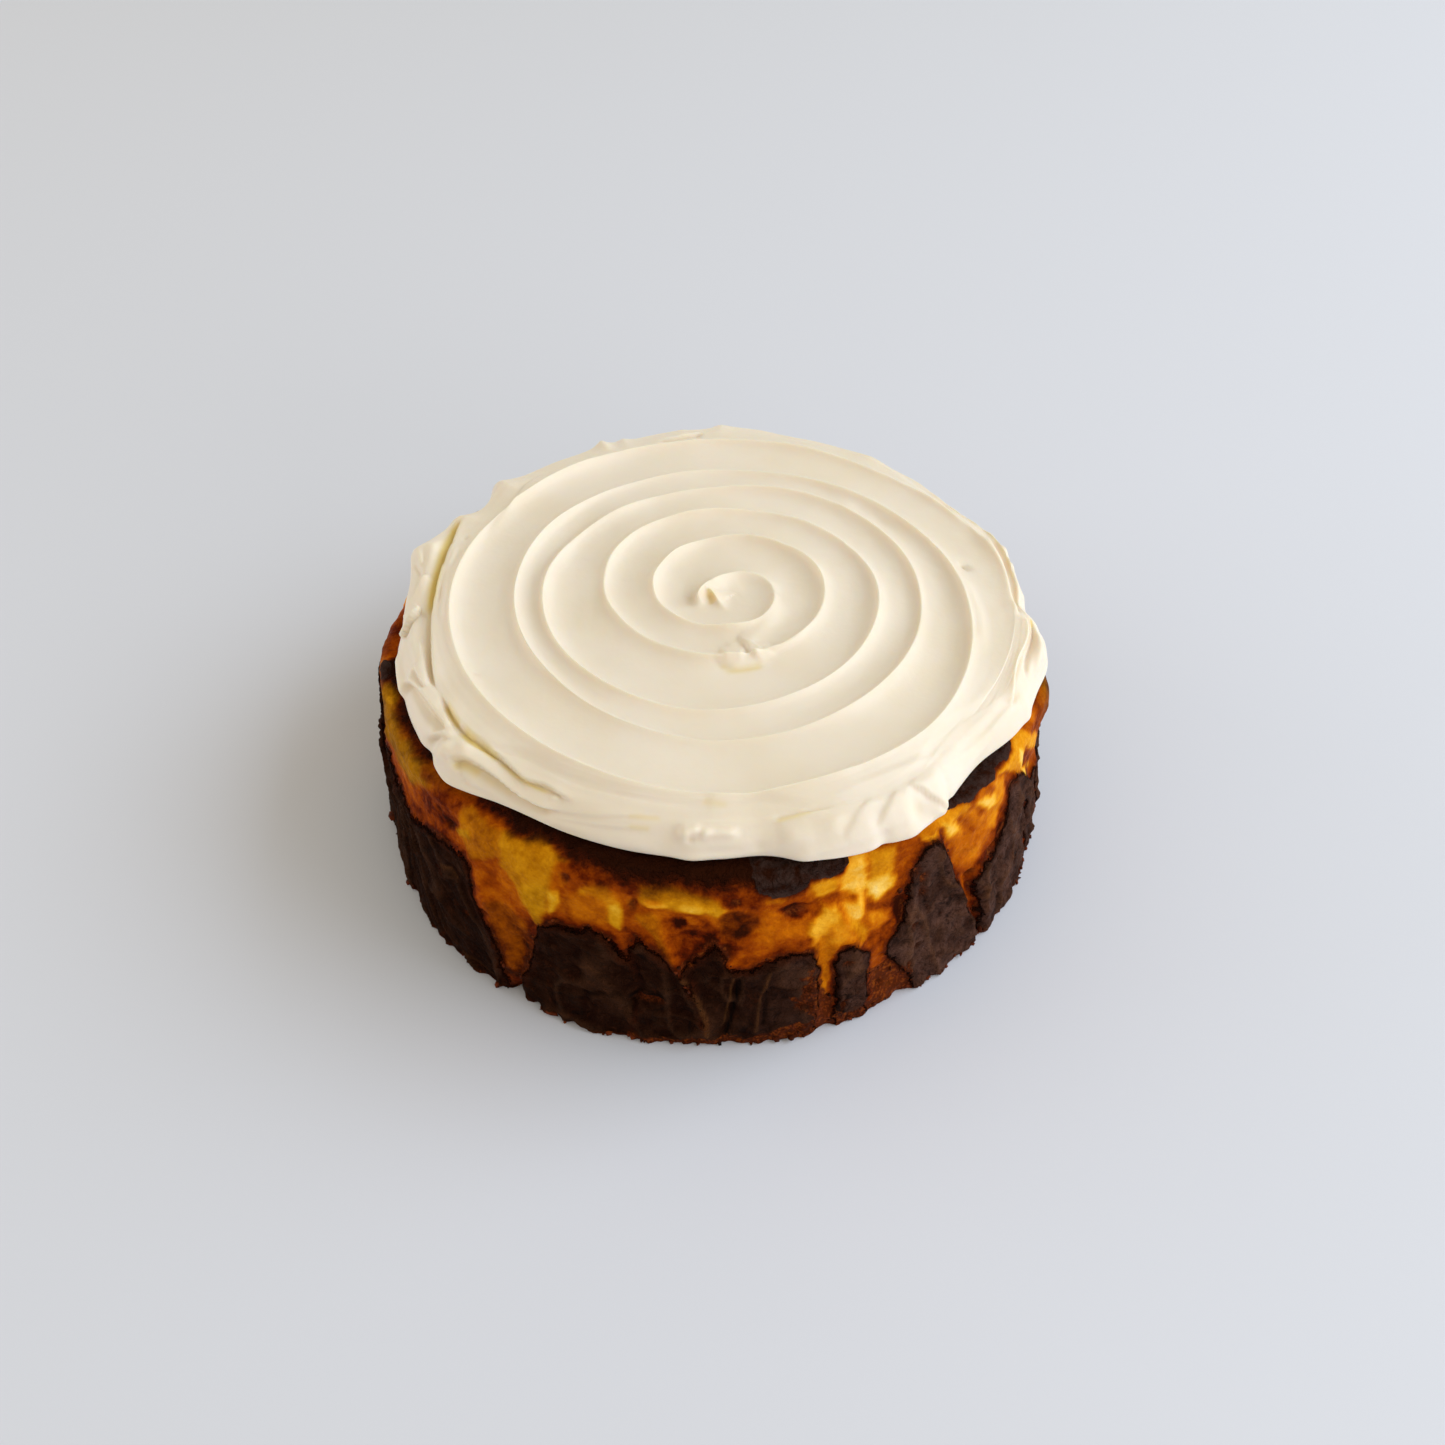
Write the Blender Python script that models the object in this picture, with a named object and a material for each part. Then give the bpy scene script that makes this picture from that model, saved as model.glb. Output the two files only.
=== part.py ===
"""Burnt basque cheesecake under a round of spread cream.

The cake is baked in creased paper. Where the paper lay flat its wall is a dark, leathery skin, and where
the paper was pulled away the skin is torn and the golden cheese below it lies a little deeper. The cream
is one thick round on the burnt top, spread with a knife on a turntable, which leaves a spiral ridge.

Sizes are in millimetres and angles in degrees until a mesh is made, which is in metres. An angle is
counted about the cake's axis from the front (-Y), and grows towards the right (+X).
"""
import math

import bmesh
import bpy
import numpy as np

for old in list(bpy.data.objects):
    bpy.data.objects.remove(old, do_unlink=True)

MM = 0.001

# the baked cake
BASE_RADIUS = 98.0
RIM_RADIUS = 92.8
WALL_HEIGHT = 60.0
SHOULDER_ROUND = 4.0
BASE_ROUND = 0.9
TOP_LEVEL = 60.7
TOP_FLAT_RADIUS = 83.5
MEAN_RADIUS = 95.3
SKIN_THICKNESS = 1.1
SKIN_EDGE = 1.4
WALL_UNEVEN = 0.55
WALL_SEED = 3
RIM_UNEVEN = 0.5
RIM_SEED = 8
CAKE_STEPS = 126
WALL_ROWS = 15
SHOULDER_ROWS = 4

# the round of cream
GAP = 0.3
CREAM_LEVEL = 72.6
CREAM_FOOT = 62.6
TUCK_START = 1.0
TUCK_LIFT = 0.4
CREAM_TUCK = 5.0
RIDGE_HEIGHT = 1.5
RIDGE_REACH = 3.0
RIDGE_ROUND = 0.6
RIDGE_GROWTH = 0.2
RIDGE_END = 0.35
FRONT_SHALLOWER = 0.5
FRONT_HALF_WIDTH = 28.0
FRONT_FROM_TURN = 3.0
RIDGE_FROM_TURN = 0.17
EDGE_FALL = 1.0
EDGE_FALL_WIDTH = 10.0
EDGE_UNEVEN = 0.4
EDGE_SEED = 21
EDGE_ROUND = 1.25
PEAK_REACH = 2.4
PEAK_ROUND = 0.5
TURN_STEPS = 88
BAND_PLACES = (0.0, 0.13, 0.45, 0.86)
PEAK_PLACES = (0.65, 0.3)
SIDE_ROWS = 6
UNDERSIDE_RADIUS = 45.0

CRUST_COLOUR = (0.145, 0.062, 0.033, 1.0)
CRUST_ROUGHNESS = 0.55
CREAM_COLOUR = (0.86, 0.79, 0.63, 1.0)
CREAM_ROUGHNESS = 0.4


# ---------------------------------------------------------------------------------------------------------
# Shared shapes
# ---------------------------------------------------------------------------------------------------------

def bump(value, centre, half_width):
    """A soft hill of height 1 about a centre."""
    return np.exp(-((value - centre) / half_width) ** 2)


def angle_from(angle, centre):
    """The signed angle from a centre, between -180 and 180."""
    return (np.asarray(angle, float) - centre + 180.0) % 360.0 - 180.0


def uneven(angle, height, seed, waves=14, fastest=11, rise=0.14):
    """A smooth, closed unevenness of about +-1 round the cake, from seeded waves."""
    draw = np.random.RandomState(seed)
    total = np.zeros(np.broadcast(angle, height).shape)
    for _ in range(waves):
        turns = draw.randint(1, fastest + 1)
        slant = draw.uniform(-rise, rise)
        phase = draw.uniform(0.0, 2.0 * math.pi)
        total += np.sin(np.radians(angle) * turns + height * slant + phase) / math.sqrt(waves)
    return total


def through(points, angle):
    """A smooth closed curve through (angle, size) points, read at any angle."""
    at, size = (np.array(values, float) for values in zip(*sorted(points)))
    at = np.concatenate([at[-2:] - 360.0, at, at[:2] + 360.0])
    size = np.concatenate([size[-2:], size, size[:2]])
    slope = np.zeros(len(at))
    slope[1:-1] = (size[2:] - size[:-2]) / (at[2:] - at[:-2])
    place = (np.asarray(angle, float) - at[2]) % 360.0 + at[2]
    step = np.clip(np.searchsorted(at, place, side="right") - 1, 1, len(at) - 3)
    gap = at[step + 1] - at[step]
    part = (place - at[step]) / gap
    return (size[step] * (1.0 + 2.0 * part) * (1.0 - part) ** 2 + size[step + 1] * (3.0 - 2.0 * part) * part ** 2
            + gap * (slope[step] * part * (1.0 - part) ** 2 - slope[step + 1] * part ** 2 * (1.0 - part)))


def ring_points(radius, angle, height):
    """Rows of points in metres from radius, angle and height in millimetres and degrees."""
    turned = np.radians(angle)
    shape = np.broadcast(radius, angle, height).shape
    points = np.empty(shape + (3,))
    points[..., 0] = radius * np.sin(turned) * MM
    points[..., 1] = -radius * np.cos(turned) * MM
    points[..., 2] = height * MM
    return points


def band_faces(lower, upper):
    """Faces between two closed rings of point numbers of equal length."""
    count = len(lower)
    return [(lower[i], lower[(i + 1) % count], upper[(i + 1) % count], upper[i]) for i in range(count)]


def fan_faces(ring, hub):
    """Faces from a closed ring to one point."""
    return [(ring[i], ring[(i + 1) % len(ring)], hub) for i in range(len(ring))]


def solid(name, points, faces, colour, roughness):
    """An object of one closed mesh with its own material, shaded smooth."""
    mesh = bpy.data.meshes.new(name)
    mesh.from_pydata([tuple(p) for p in points], [], faces)
    shell = bmesh.new()
    shell.from_mesh(mesh)
    bmesh.ops.recalc_face_normals(shell, faces=shell.faces)
    shell.to_mesh(mesh)
    shell.free()
    mesh.shade_smooth()
    material = bpy.data.materials.new(name)
    material.use_nodes = True
    shader = material.node_tree.nodes["Principled BSDF"]
    shader.inputs["Base Color"].default_value = colour
    shader.inputs["Roughness"].default_value = roughness
    shader.inputs["Metallic"].default_value = 0.0
    mesh.materials.append(material)
    thing = bpy.data.objects.new(name, mesh)
    bpy.context.scene.collection.objects.link(thing)
    return thing


# ---------------------------------------------------------------------------------------------------------
# The cake: dark skins and creases on its wall
# ---------------------------------------------------------------------------------------------------------

# each skin is an outline of (angle, height) corners on the wall, from left to right round the front
SKINS = {
    "left": [(-78, -2), (-78, 38), (-68, 40), (-58, 37), (-50, 41.5), (-41, 43), (-39, 28), (-34.5, 17),
             (-33, -2)],
    "front left": [(-32, -2), (-30.5, 14), (-28, 28), (-25.5, 37), (-19, 37), (-13, 32), (-10.3, 22),
                   (-13, 12), (-14, -2)],
    "front narrow": [(-13.5, -2), (-10, 20), (-12, 32), (-10, 39), (-5, 29), (-1.5, 17), (-0.8, -2)],
    "front": [(-0.5, -2), (-1.2, 17), (-4, 30), (0.5, 40), (3, 31), (12, 34), (16.5, 30), (16, -2)],
    "tab": [(19.2, 3), (19.2, 28), (22.5, 31.5), (25.2, 24), (25, 5), (21, 1)],
    "right": [(35, -2), (31.5, 12), (28.5, 24), (32, 36), (33, 50), (36.5, 56.5), (39, 50), (43, 32),
              (46, 16), (49, -2)],
    "far right": [(49.5, -2), (50, 8), (47.3, 25), (54, 30), (57, 45), (59, 49), (65.5, 39), (66, 20),
                  (68, -2)],
    "side": [(68.5, -2), (67.5, 26), (70, 36), (78, 38), (78, -2)],
}

# creases left by the paper: half width, height (below 0 for a groove), then (angle, height) points
CREASES = [
    (3.2, 1.5, [(-39, 46), (-36.5, 32), (-32.5, 10)]),
    (1.8, -1.2, [(-30.8, 20), (-31.8, 0)]),
    (1.6, -1.3, [(-12, 32), (-10.3, 21), (-12.5, 12)]),
    (1.5, 1.0, [(-7, 42), (-4.5, 30), (-1.3, 17), (-0.5, 6)]),
    (1.6, -1.3, [(4.5, 28), (1.8, 5)]),
    (1.5, 0.8, [(9.5, 29), (6.8, 6)]),
    (2.2, -1.3, [(17, 34), (18, 8)]),
    (2.6, 1.2, [(17.5, 49), (21, 40), (24.5, 29)]),
    (1.8, 1.6, [(38.5, 52), (41.2, 39), (44.3, 24), (48, 6)]),
    (2.6, -2.2, [(45.3, 29), (47.2, 17), (49.4, 2)]),
    (1.8, -1.5, [(65.4, 31), (67, 24), (69, 14)]),
]

# wide dents and bulges of the wall: angle, height, half widths across and up, depth outwards
DENTS = [
    (-68, 20, 14, 20, -1.6),
    (-49, 30, 14, 16, 0.8),
    (-33, 52, 9, 9, 1.0),
    (24, 50, 7, 10, -1.0),
    (45, 46, 8, 12, -1.8),
    (68, 54, 9, 10, 1.0),
]

# the same for single places, which the unseen part doesn't repeat
SINGLE_DENTS = [
    (-98, 58, 13, 18, -2.4),
    (75, 54, 5, 14, 1.8),
    (96, 58, 13, 18, -3.6),
]

# where the top of the wall stands up or sinks: angle, half width, rise
RIM_LIPS = [(-80, 12, 1.2), (72, 9, 0.8), (180, 45, -1.2)]

# the unseen part repeats the seen one: from this angle on, the design is the seen one turned by so much
SEEN_FROM = -76.0
REPEATS = [(72.0, 108.0), (173.0, 239.0)]


def design_angle(angle):
    """The angle at which the skins and creases of this place are drawn."""
    around = (np.asarray(angle, float) - SEEN_FROM) % 360.0 + SEEN_FROM
    drawn = around.copy()
    for start, turn in REPEATS:
        drawn = np.where(around > start, around - turn, drawn)
    return drawn


def depth_inside(outline, angle, height):
    """Distance along the wall from places to an outline, positive inside it."""
    across = np.radians(angle) * MEAN_RADIUS
    corners = [(math.radians(a) * MEAN_RADIUS, h) for a, h in outline]
    nearest = np.full(across.shape, 1e9)
    inside = np.zeros(across.shape, bool)
    for (x0, y0), (x1, y1) in zip(corners, corners[1:] + corners[:1]):
        dx, dy = x1 - x0, y1 - y0
        along = np.clip(((across - x0) * dx + (height - y0) * dy) / (dx * dx + dy * dy), 0.0, 1.0)
        nearest = np.minimum(nearest, np.hypot(across - x0 - along * dx, height - y0 - along * dy))
        crossed = (y0 > height) != (y1 > height)
        inside ^= crossed & (across < x0 + (height - y0) * dx / (dy or 1.0))
    return np.where(inside, nearest, -nearest)


def distance_to(path, angle, height):
    """Distance along the wall from places to a crease."""
    across = np.radians(angle) * MEAN_RADIUS
    nearest = np.full(across.shape, 1e9)
    for (a0, y0), (a1, y1) in zip(path, path[1:]):
        x0, x1 = math.radians(a0) * MEAN_RADIUS, math.radians(a1) * MEAN_RADIUS
        dx, dy = x1 - x0, y1 - y0
        along = np.clip(((across - x0) * dx + (height - y0) * dy) / (dx * dx + dy * dy), 0.0, 1.0)
        nearest = np.minimum(nearest, np.hypot(across - x0 - along * dx, height - y0 - along * dy))
    return nearest


def wall_radius(angle, height):
    """Radius of the wall with its skins, creases, dents and unevenness."""
    drawn = design_angle(angle)
    skin = np.full(drawn.shape, -1e9)
    for outline in SKINS.values():
        skin = np.maximum(skin, depth_inside(outline, drawn, height))
    radius = BASE_RADIUS + (RIM_RADIUS - BASE_RADIUS) * height / WALL_HEIGHT
    radius = radius - SKIN_THICKNESS / (1.0 + np.exp(2.0 * skin / SKIN_EDGE))
    for half_width, rise, path in CREASES:
        radius = radius + rise * np.exp(-(distance_to(path, drawn, height) / half_width) ** 2)
    for centre, level, across, up, rise in DENTS:
        radius = radius + rise * bump(drawn, centre, across) * bump(height, level, up)
    for centre, level, across, up, rise in SINGLE_DENTS:
        radius = radius + rise * bump(angle_from(angle, centre), 0.0, across) * bump(height, level, up)
    return radius + WALL_UNEVEN * uneven(angle, height, WALL_SEED)


def rim_height(angle):
    """Height of the top of the wall."""
    raised = sum(rise * bump(angle_from(angle, centre), 0.0, half) for centre, half, rise in RIM_LIPS)
    return WALL_HEIGHT + raised + RIM_UNEVEN * uneven(angle, np.zeros_like(angle), RIM_SEED)


def make_cake():
    angle = np.arange(CAKE_STEPS) * 360.0 / CAKE_STEPS
    rim = rim_height(angle)
    rows = [(wall_radius(angle, np.zeros_like(angle)) - BASE_ROUND, np.zeros_like(angle))]
    for i in range(WALL_ROWS):
        level = BASE_ROUND + (rim - SHOULDER_ROUND - BASE_ROUND) * i / (WALL_ROWS - 1)
        rows.append((wall_radius(angle, level), level))
    edge = wall_radius(angle, rim - SHOULDER_ROUND)
    for i in range(1, SHOULDER_ROWS + 1):
        bend = math.radians(90.0 * i / SHOULDER_ROWS)
        rows.append((edge - SHOULDER_ROUND * (1.0 - math.cos(bend)),
                     rim - SHOULDER_ROUND * (1.0 - math.sin(bend))))
    rows.append((np.full_like(angle, TOP_FLAT_RADIUS), np.full_like(angle, TOP_LEVEL)))
    points = [ring_points(radius, angle, level) for radius, level in rows]
    rings = [[row * CAKE_STEPS + i for i in range(CAKE_STEPS)] for row in range(len(rows))]
    under, over = len(rows) * CAKE_STEPS, len(rows) * CAKE_STEPS + 1
    points = np.concatenate(points + [np.array([[0.0, 0.0, 0.0], [0.0, 0.0, TOP_LEVEL * MM]])])
    faces = fan_faces(rings[0][::-1], under) + fan_faces(rings[-1], over)
    for lower, upper in zip(rings, rings[1:]):
        faces += band_faces(lower, upper)
    return solid("cake", points, faces, CRUST_COLOUR, CRUST_ROUGHNESS)


# ---------------------------------------------------------------------------------------------------------
# The cream: a spiral ridge, turned clockwise from the middle, and a lumpy edge
# ---------------------------------------------------------------------------------------------------------

# radius of the ridge at every eighth of a turn from its start behind the peak in the middle
RIDGE_START = 180.0
RIDGE_RADII = [
    5.6, 8.2, 16.9, 19.5, 17.5, 16,
    15.5, 16.2, 20, 25.5, 30.8, 31.5, 29.5, 28,
    29, 30.7, 32.5, 38, 45, 47.8, 48.5, 47,
    45, 42.2, 43, 50, 56.5, 59.3, 58.5, 54.5,
    53, 51.8, 52, 57, 68, 76.5, 75, 72,
    70, 67.5, 68, 72, 82,
]

# the edge of the cream: (angle, radius) round the foot, and how far the top stands back from it
EDGE_RADII = [(-180, 81), (-165, 79.5), (-140, 80), (-128, 81), (-120, 80), (-112, 83.2), (-103, 87),
              (-95, 86), (-86, 84.8), (-73, 86), (-60, 87.3), (-46.5, 89.2), (-37, 86), (-28, 84.9),
              (-14, 85.5), (2, 86), (9, 86.4), (19, 91), (31, 92.8), (37, 92), (44, 88.8), (51, 87.6),
              (60, 90.4), (70, 91.4), (77, 92.8), (82, 91.4), (87.5, 86.8), (100, 86.8), (108, 84.6),
              (118, 81.6), (132, 81.4), (142, 81.6), (158, 80.6)]
TOP_SETBACK = [(-180, 3.0), (-125, 3.0), (-105, 4.0), (-88, 6.2), (-60, 7.4), (0, 7.8), (45, 7.6),
               (64, 6.6), (78, 5.6), (92, 3.4), (110, 2.6), (145, 2.6)]

# soft peaks pulled up where the knife left the edge: angle, half width, reach outwards, rise
EDGE_PEAKS = [(-153, 3.2, 2.2, 1.6), (-128, 4.0, 2.6, 1.8), (-114, 3.0, 1.2, 1.6), (-103, 4.0, 1.8, 2.2),
              (178, 4.0, 2.0, 0.8), (128, 4.0, 1.0, 0.8), (104, 5.0, 1.0, 0.6), (-48, 5.0, 0.8, 1.0)]

# the crease behind the turned-over edge at the left: angle and radius along it, half width, depth
EDGE_CREASE = [(-113, 77.5), (-95, 75), (-75, 75.8), (-60, 78.8), (-48, 80.2), (-38, 80.4)]
CREASE_HALF_WIDTH = 1.8
CREASE_DEPTH = 1.6

# the knife's last lumps: angle, radius, half width, rise
LUMPS = [(18, 27.5, 3.6, 2.0), (132, 52, 3.2, 0.8), (72, 84.5, 5.0, 1.0)]

# the peak: (across, away from the front, height over the cream) along its crest, from its summit to the
# place where it runs into the ridge
PEAK_CREST = [(-1.7, -3.9, 4.3), (0.5, -0.9, 3.8), (2.5, 1.6, 3.2), (5.9, 3.9, 2.5), (10.4, 5.3, 2.1),
              (14.3, 3.7, 1.9), (16.9, -0.1, 1.8), (17.8, -5.0, 1.4), (17.5, -8.6, 0.8)]


def foot_radius(angle):
    """Radius of the cream round its foot."""
    ripple = uneven(angle, np.zeros_like(angle), EDGE_SEED, fastest=30)
    return through(EDGE_RADII, angle) + EDGE_UNEVEN * ripple


def top_radius(angle):
    """Radius where the flat top of the cream bends down."""
    return foot_radius(angle) - through(TOP_SETBACK, angle)


def peak_parts(angle):
    """How far the edge's peaks reach outwards and up at an angle."""
    out, up = np.zeros(np.shape(angle)), np.zeros(np.shape(angle))
    for centre, half_width, reach, rise in EDGE_PEAKS:
        hill = bump(angle_from(angle, centre), 0.0, half_width)
        out = out + reach * hill
        up = up + rise * hill
    return out, up


def ridge_hill(distance):
    """Height of the rounded ridge at a distance from its crest, as a part of its full height."""
    return np.exp(-(np.hypot(distance, RIDGE_ROUND) - RIDGE_ROUND) / RIDGE_REACH)


def ridge_height(step, last):
    """Height of the ridge at a step along it.

    It grows out of the middle, dies into the edge, and further out it is shallower in front.
    """
    if step < 0 or step > last:
        return 0.0
    turns = step / TURN_STEPS
    grown = min(1.0, max(0.0, turns - RIDGE_FROM_TURN) / RIDGE_GROWTH, (last / TURN_STEPS - turns) / RIDGE_END)
    angle = RIDGE_START - step * 360.0 / TURN_STEPS
    outer = min(1.0, step / (FRONT_FROM_TURN * TURN_STEPS))
    shallower = FRONT_SHALLOWER * outer * bump(angle_from(angle, 0.0), 0.0, FRONT_HALF_WIDTH)
    return RIDGE_HEIGHT * grown * (1.0 - shallower)


def peak_height(x, y):
    """Height of the peak and of the crest that runs from it into the ridge."""
    highest = 0.0
    for (x0, y0, first), (x1, y1, second) in zip(PEAK_CREST, PEAK_CREST[1:]):
        dx, dy = x1 - x0, y1 - y0
        along = min(1.0, max(0.0, ((x - x0) * dx + (y - y0) * dy) / (dx * dx + dy * dy)))
        off = math.hypot(x - x0 - along * dx, y - y0 - along * dy)
        fade = math.exp(-(math.hypot(off, PEAK_ROUND) - PEAK_ROUND) / PEAK_REACH)
        highest = max(highest, (first + (second - first) * along) * fade)
    return highest


def cream_height(radius, angle, ridge):
    """Height of the cream's top where the ridge adds so much."""
    x, y = radius * math.sin(math.radians(angle)), -radius * math.cos(math.radians(angle))
    level = CREAM_LEVEL + max(ridge, peak_height(x, y))
    for centre, out, half_width, rise in LUMPS:
        lump_x, lump_y = out * math.sin(math.radians(centre)), -out * math.cos(math.radians(centre))
        level = level + rise * np.exp(-((x - lump_x) ** 2 + (y - lump_y) ** 2) / half_width ** 2)
    crease_angles = [a for a, _ in EDGE_CREASE]
    crease = np.interp(angle_from(angle, 0.0), crease_angles, [r for _, r in EDGE_CREASE])
    middle, half = (crease_angles[-1] + crease_angles[0]) / 2.0, (crease_angles[-1] - crease_angles[0]) / 2.0
    fade = np.clip(1.0 - (angle_from(angle, middle) / half) ** 4, 0.0, 1.0)
    level = level - CREASE_DEPTH * fade * bump(radius, crease, CREASE_HALF_WIDTH)
    edge = top_radius(angle)
    _, rise = peak_parts(angle)
    near = max(0.0, 1.0 - (edge - radius) / EDGE_FALL_WIDTH)
    return level + (rise - EDGE_FALL) * near ** 2


def ridge_path():
    """Angle and radius of the ridge's crest at every step, and the steps in one turn."""
    eighths = len(RIDGE_RADII)
    steps = (eighths * TURN_STEPS) // 8
    at = np.arange(steps + 1) * 8.0 / TURN_STEPS
    angle = RIDGE_START - 45.0 * at
    end = float(top_radius(np.array([angle[-1]]))[0])
    knots = np.array([RIDGE_RADII[0]] + RIDGE_RADII + [end, end])
    low = np.minimum(at.astype(int), eighths - 1)
    part = at - low
    before, here, after, beyond = knots[low], knots[low + 1], knots[low + 2], knots[low + 3]
    radius = 0.5 * (2.0 * here + (after - before) * part
                    + (2.0 * before - 5.0 * here + 4.0 * after - beyond) * part ** 2
                    + (3.0 * (here - after) + beyond - before) * part ** 3)
    radius[-1] = end
    return angle, radius


def make_cream():
    angle, crest = ridge_path()
    last = len(angle) - 1
    bands = len(BAND_PLACES)
    turn = np.arange(1 - TURN_STEPS, 1)
    hub_angle = RIDGE_START - turn * 360.0 / TURN_STEPS
    ring_angle = angle[last] - np.arange(TURN_STEPS) * 360.0 / TURN_STEPS
    ring_top = top_radius(ring_angle)
    points, number = [], {}

    def add(key, radius, turned, ridge):
        number[key] = len(points)
        points.append(ring_points(radius, turned, float(cream_height(radius, turned, ridge))))

    def crest_at(step):
        """Radius of the line of points at a step: the hub's ring, then the ridge, then the edge's ring."""
        if step <= 0:
            return crest[0]
        return crest[step] if step <= last else ring_top[step - last]

    # rows of points run along the ridge, so that its crest is never cut across
    for step in range(1 - TURN_STEPS, last):
        turned = RIDGE_START - step * 360.0 / TURN_STEPS
        band = crest_at(step + TURN_STEPS) - crest_at(step)
        for row, place in enumerate(BAND_PLACES):
            ridge = (ridge_height(step, last) * ridge_hill(band * place)
                     + ridge_height(step + TURN_STEPS, last) * ridge_hill(band * (1.0 - place)))
            add((step, row), crest_at(step) + band * place, turned, ridge)
    for i in range(TURN_STEPS):
        add((last + i, 0), ring_top[i], ring_angle[i], 0.0)

    def at(step, row):
        if row == bands:
            step, row = step + TURN_STEPS, 0
        if step == -TURN_STEPS:
            step, row = 0, 0
        if step >= last:
            step, row = last + (step - last) % TURN_STEPS, 0
        return number[(step, row)]

    faces = []
    for step in range(-TURN_STEPS, last):
        for row in range(bands):
            corners = [at(step, row), at(step + 1, row), at(step + 1, row + 1), at(step, row + 1)]
            corners = list(dict.fromkeys(corners))
            if len(corners) > 2:
                faces.append(tuple(corners))

    # inside the start of the ridge, rings close in on the peak's summit
    rings = [[at(step, 0) for step in turn]]
    summit_x, summit_y, _ = PEAK_CREST[0]
    for part in PEAK_PLACES + (0.0,):
        places = hub_angle if part > 0.0 else hub_angle[:1]
        rings.append([len(points) + i for i in range(len(places))])
        for turned in places:
            x = summit_x + part * (crest[0] * math.sin(math.radians(turned)) - summit_x)
            y = summit_y + part * (-crest[0] * math.cos(math.radians(turned)) - summit_y)
            radius, turned = math.hypot(x, y), math.degrees(math.atan2(x, -y))
            points.append(ring_points(radius, turned, float(cream_height(radius, turned, 0.0))))
    (summit,) = rings.pop()
    faces += fan_faces(rings[-1], summit)
    for outer, inner in zip(rings, rings[1:]):
        faces += band_faces(outer, inner)

    # the side bends down to the foot and tucks in under the cream
    out, _ = peak_parts(ring_angle)
    foot = foot_radius(ring_angle)
    top_level = np.array([points[at(last + i, 0)][2] / MM for i in range(TURN_STEPS)])
    rings = [[at(last + i, 0) for i in range(TURN_STEPS)]]
    rows = []
    for i in range(1, SIDE_ROWS + 1):
        bend = math.radians(90.0 * i / SIDE_ROWS)
        sine, cosine = math.sin(bend) ** EDGE_ROUND, max(0.0, math.cos(bend)) ** EDGE_ROUND
        radius = ring_top + (foot - ring_top) * sine + out * math.sin(2.0 * bend) ** 2
        rows.append((radius, CREAM_FOOT + (top_level - CREAM_FOOT) * cosine))
    under = TOP_LEVEL + GAP
    rows.append((foot - TUCK_START, np.full_like(foot, under + TUCK_LIFT)))
    rows.append((foot - CREAM_TUCK, np.full_like(foot, under)))
    rows.append((np.full_like(foot, UNDERSIDE_RADIUS), np.full_like(foot, under)))
    for radius, level in rows:
        first = len(points)
        points.extend(ring_points(radius, ring_angle, level))
        rings.append([first + i for i in range(TURN_STEPS)])
    points.append(np.array([0.0, 0.0, under * MM]))
    for upper, lower in zip(rings, rings[1:]):
        faces += band_faces(upper, lower)
    faces += fan_faces(rings[-1], len(points) - 1)
    return solid("cream", points, faces, CREAM_COLOUR, CREAM_ROUGHNESS)


# ---------------------------------------------------------------------------------------------------------
# The whole, moved so that its outline stands about the origin
# ---------------------------------------------------------------------------------------------------------

def centre_outline(things):
    """Move the meshes level so that the middle of their common outline is over the origin."""
    corners = np.concatenate([[tuple(v.co) for v in thing.data.vertices] for thing in things])
    middle = (corners.min(axis=0) + corners.max(axis=0)) / 2.0
    for thing in things:
        for vertex in thing.data.vertices:
            vertex.co.x -= middle[0]
            vertex.co.y -= middle[1]
        thing.data.update()


centre_outline([make_cake(), make_cream()])
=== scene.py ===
"""A whole burnt basque cheesecake under a round of spread cream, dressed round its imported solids.

Sizes are in millimetres and angles in degrees until a mesh is made, which is in metres, as the places of
the floor, the lamps and the camera are. An angle is counted about the cake's axis from the front (-Y), and
grows towards the right (+X). A length is counted up the wall and on over its rounded edge.
"""
import math

import bmesh
import bpy
import numpy as np
from mathutils import Matrix, Vector


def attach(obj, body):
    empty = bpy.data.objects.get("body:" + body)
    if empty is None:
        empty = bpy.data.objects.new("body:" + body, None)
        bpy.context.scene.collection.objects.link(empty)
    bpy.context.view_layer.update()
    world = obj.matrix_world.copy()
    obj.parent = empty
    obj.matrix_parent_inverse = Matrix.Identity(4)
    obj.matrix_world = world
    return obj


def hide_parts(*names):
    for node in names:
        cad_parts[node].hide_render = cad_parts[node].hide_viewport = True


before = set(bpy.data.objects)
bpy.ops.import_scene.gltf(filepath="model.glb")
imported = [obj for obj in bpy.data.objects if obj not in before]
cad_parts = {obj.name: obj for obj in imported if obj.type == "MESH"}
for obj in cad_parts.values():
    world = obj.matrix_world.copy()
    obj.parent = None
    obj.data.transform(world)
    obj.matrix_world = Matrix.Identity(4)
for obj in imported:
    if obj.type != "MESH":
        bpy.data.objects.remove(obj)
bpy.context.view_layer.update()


# =========================================================================================================
# The baked cake. A drum of cheese baked in creased paper, set on its flat base. Where the paper lay
# against it the wall is a dark, leathery skin; where the paper pulled the skin away the golden cheese
# shows, a little deeper; the top and its rounded edge are burnt nearly black.
# =========================================================================================================

MM = 0.001
BASE_RADIUS = 98.0
RIM_RADIUS = 92.8
WALL_HEIGHT = 60.0
SHOULDER_ROUND = 4.0
BASE_ROUND = 0.9
TOP_LEVEL = 60.7
TOP_FLAT_RADIUS = 83.5
HIDDEN_RADIUS = 70.0
MEAN_RADIUS = 95.3
SKIN_THICKNESS = 1.1
SKIN_EDGE = 0.8
SKIN_LIP = 0.45
CHAR_THICKNESS = 0.35
WALL_UNEVEN = 0.55
WALL_SEED = 3
RIM_UNEVEN = 0.5
RIM_SEED = 8

# the cake's axis stands this far off the middle of its outline
AXIS_OFFSET = (-0.21, 0.04)

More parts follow.
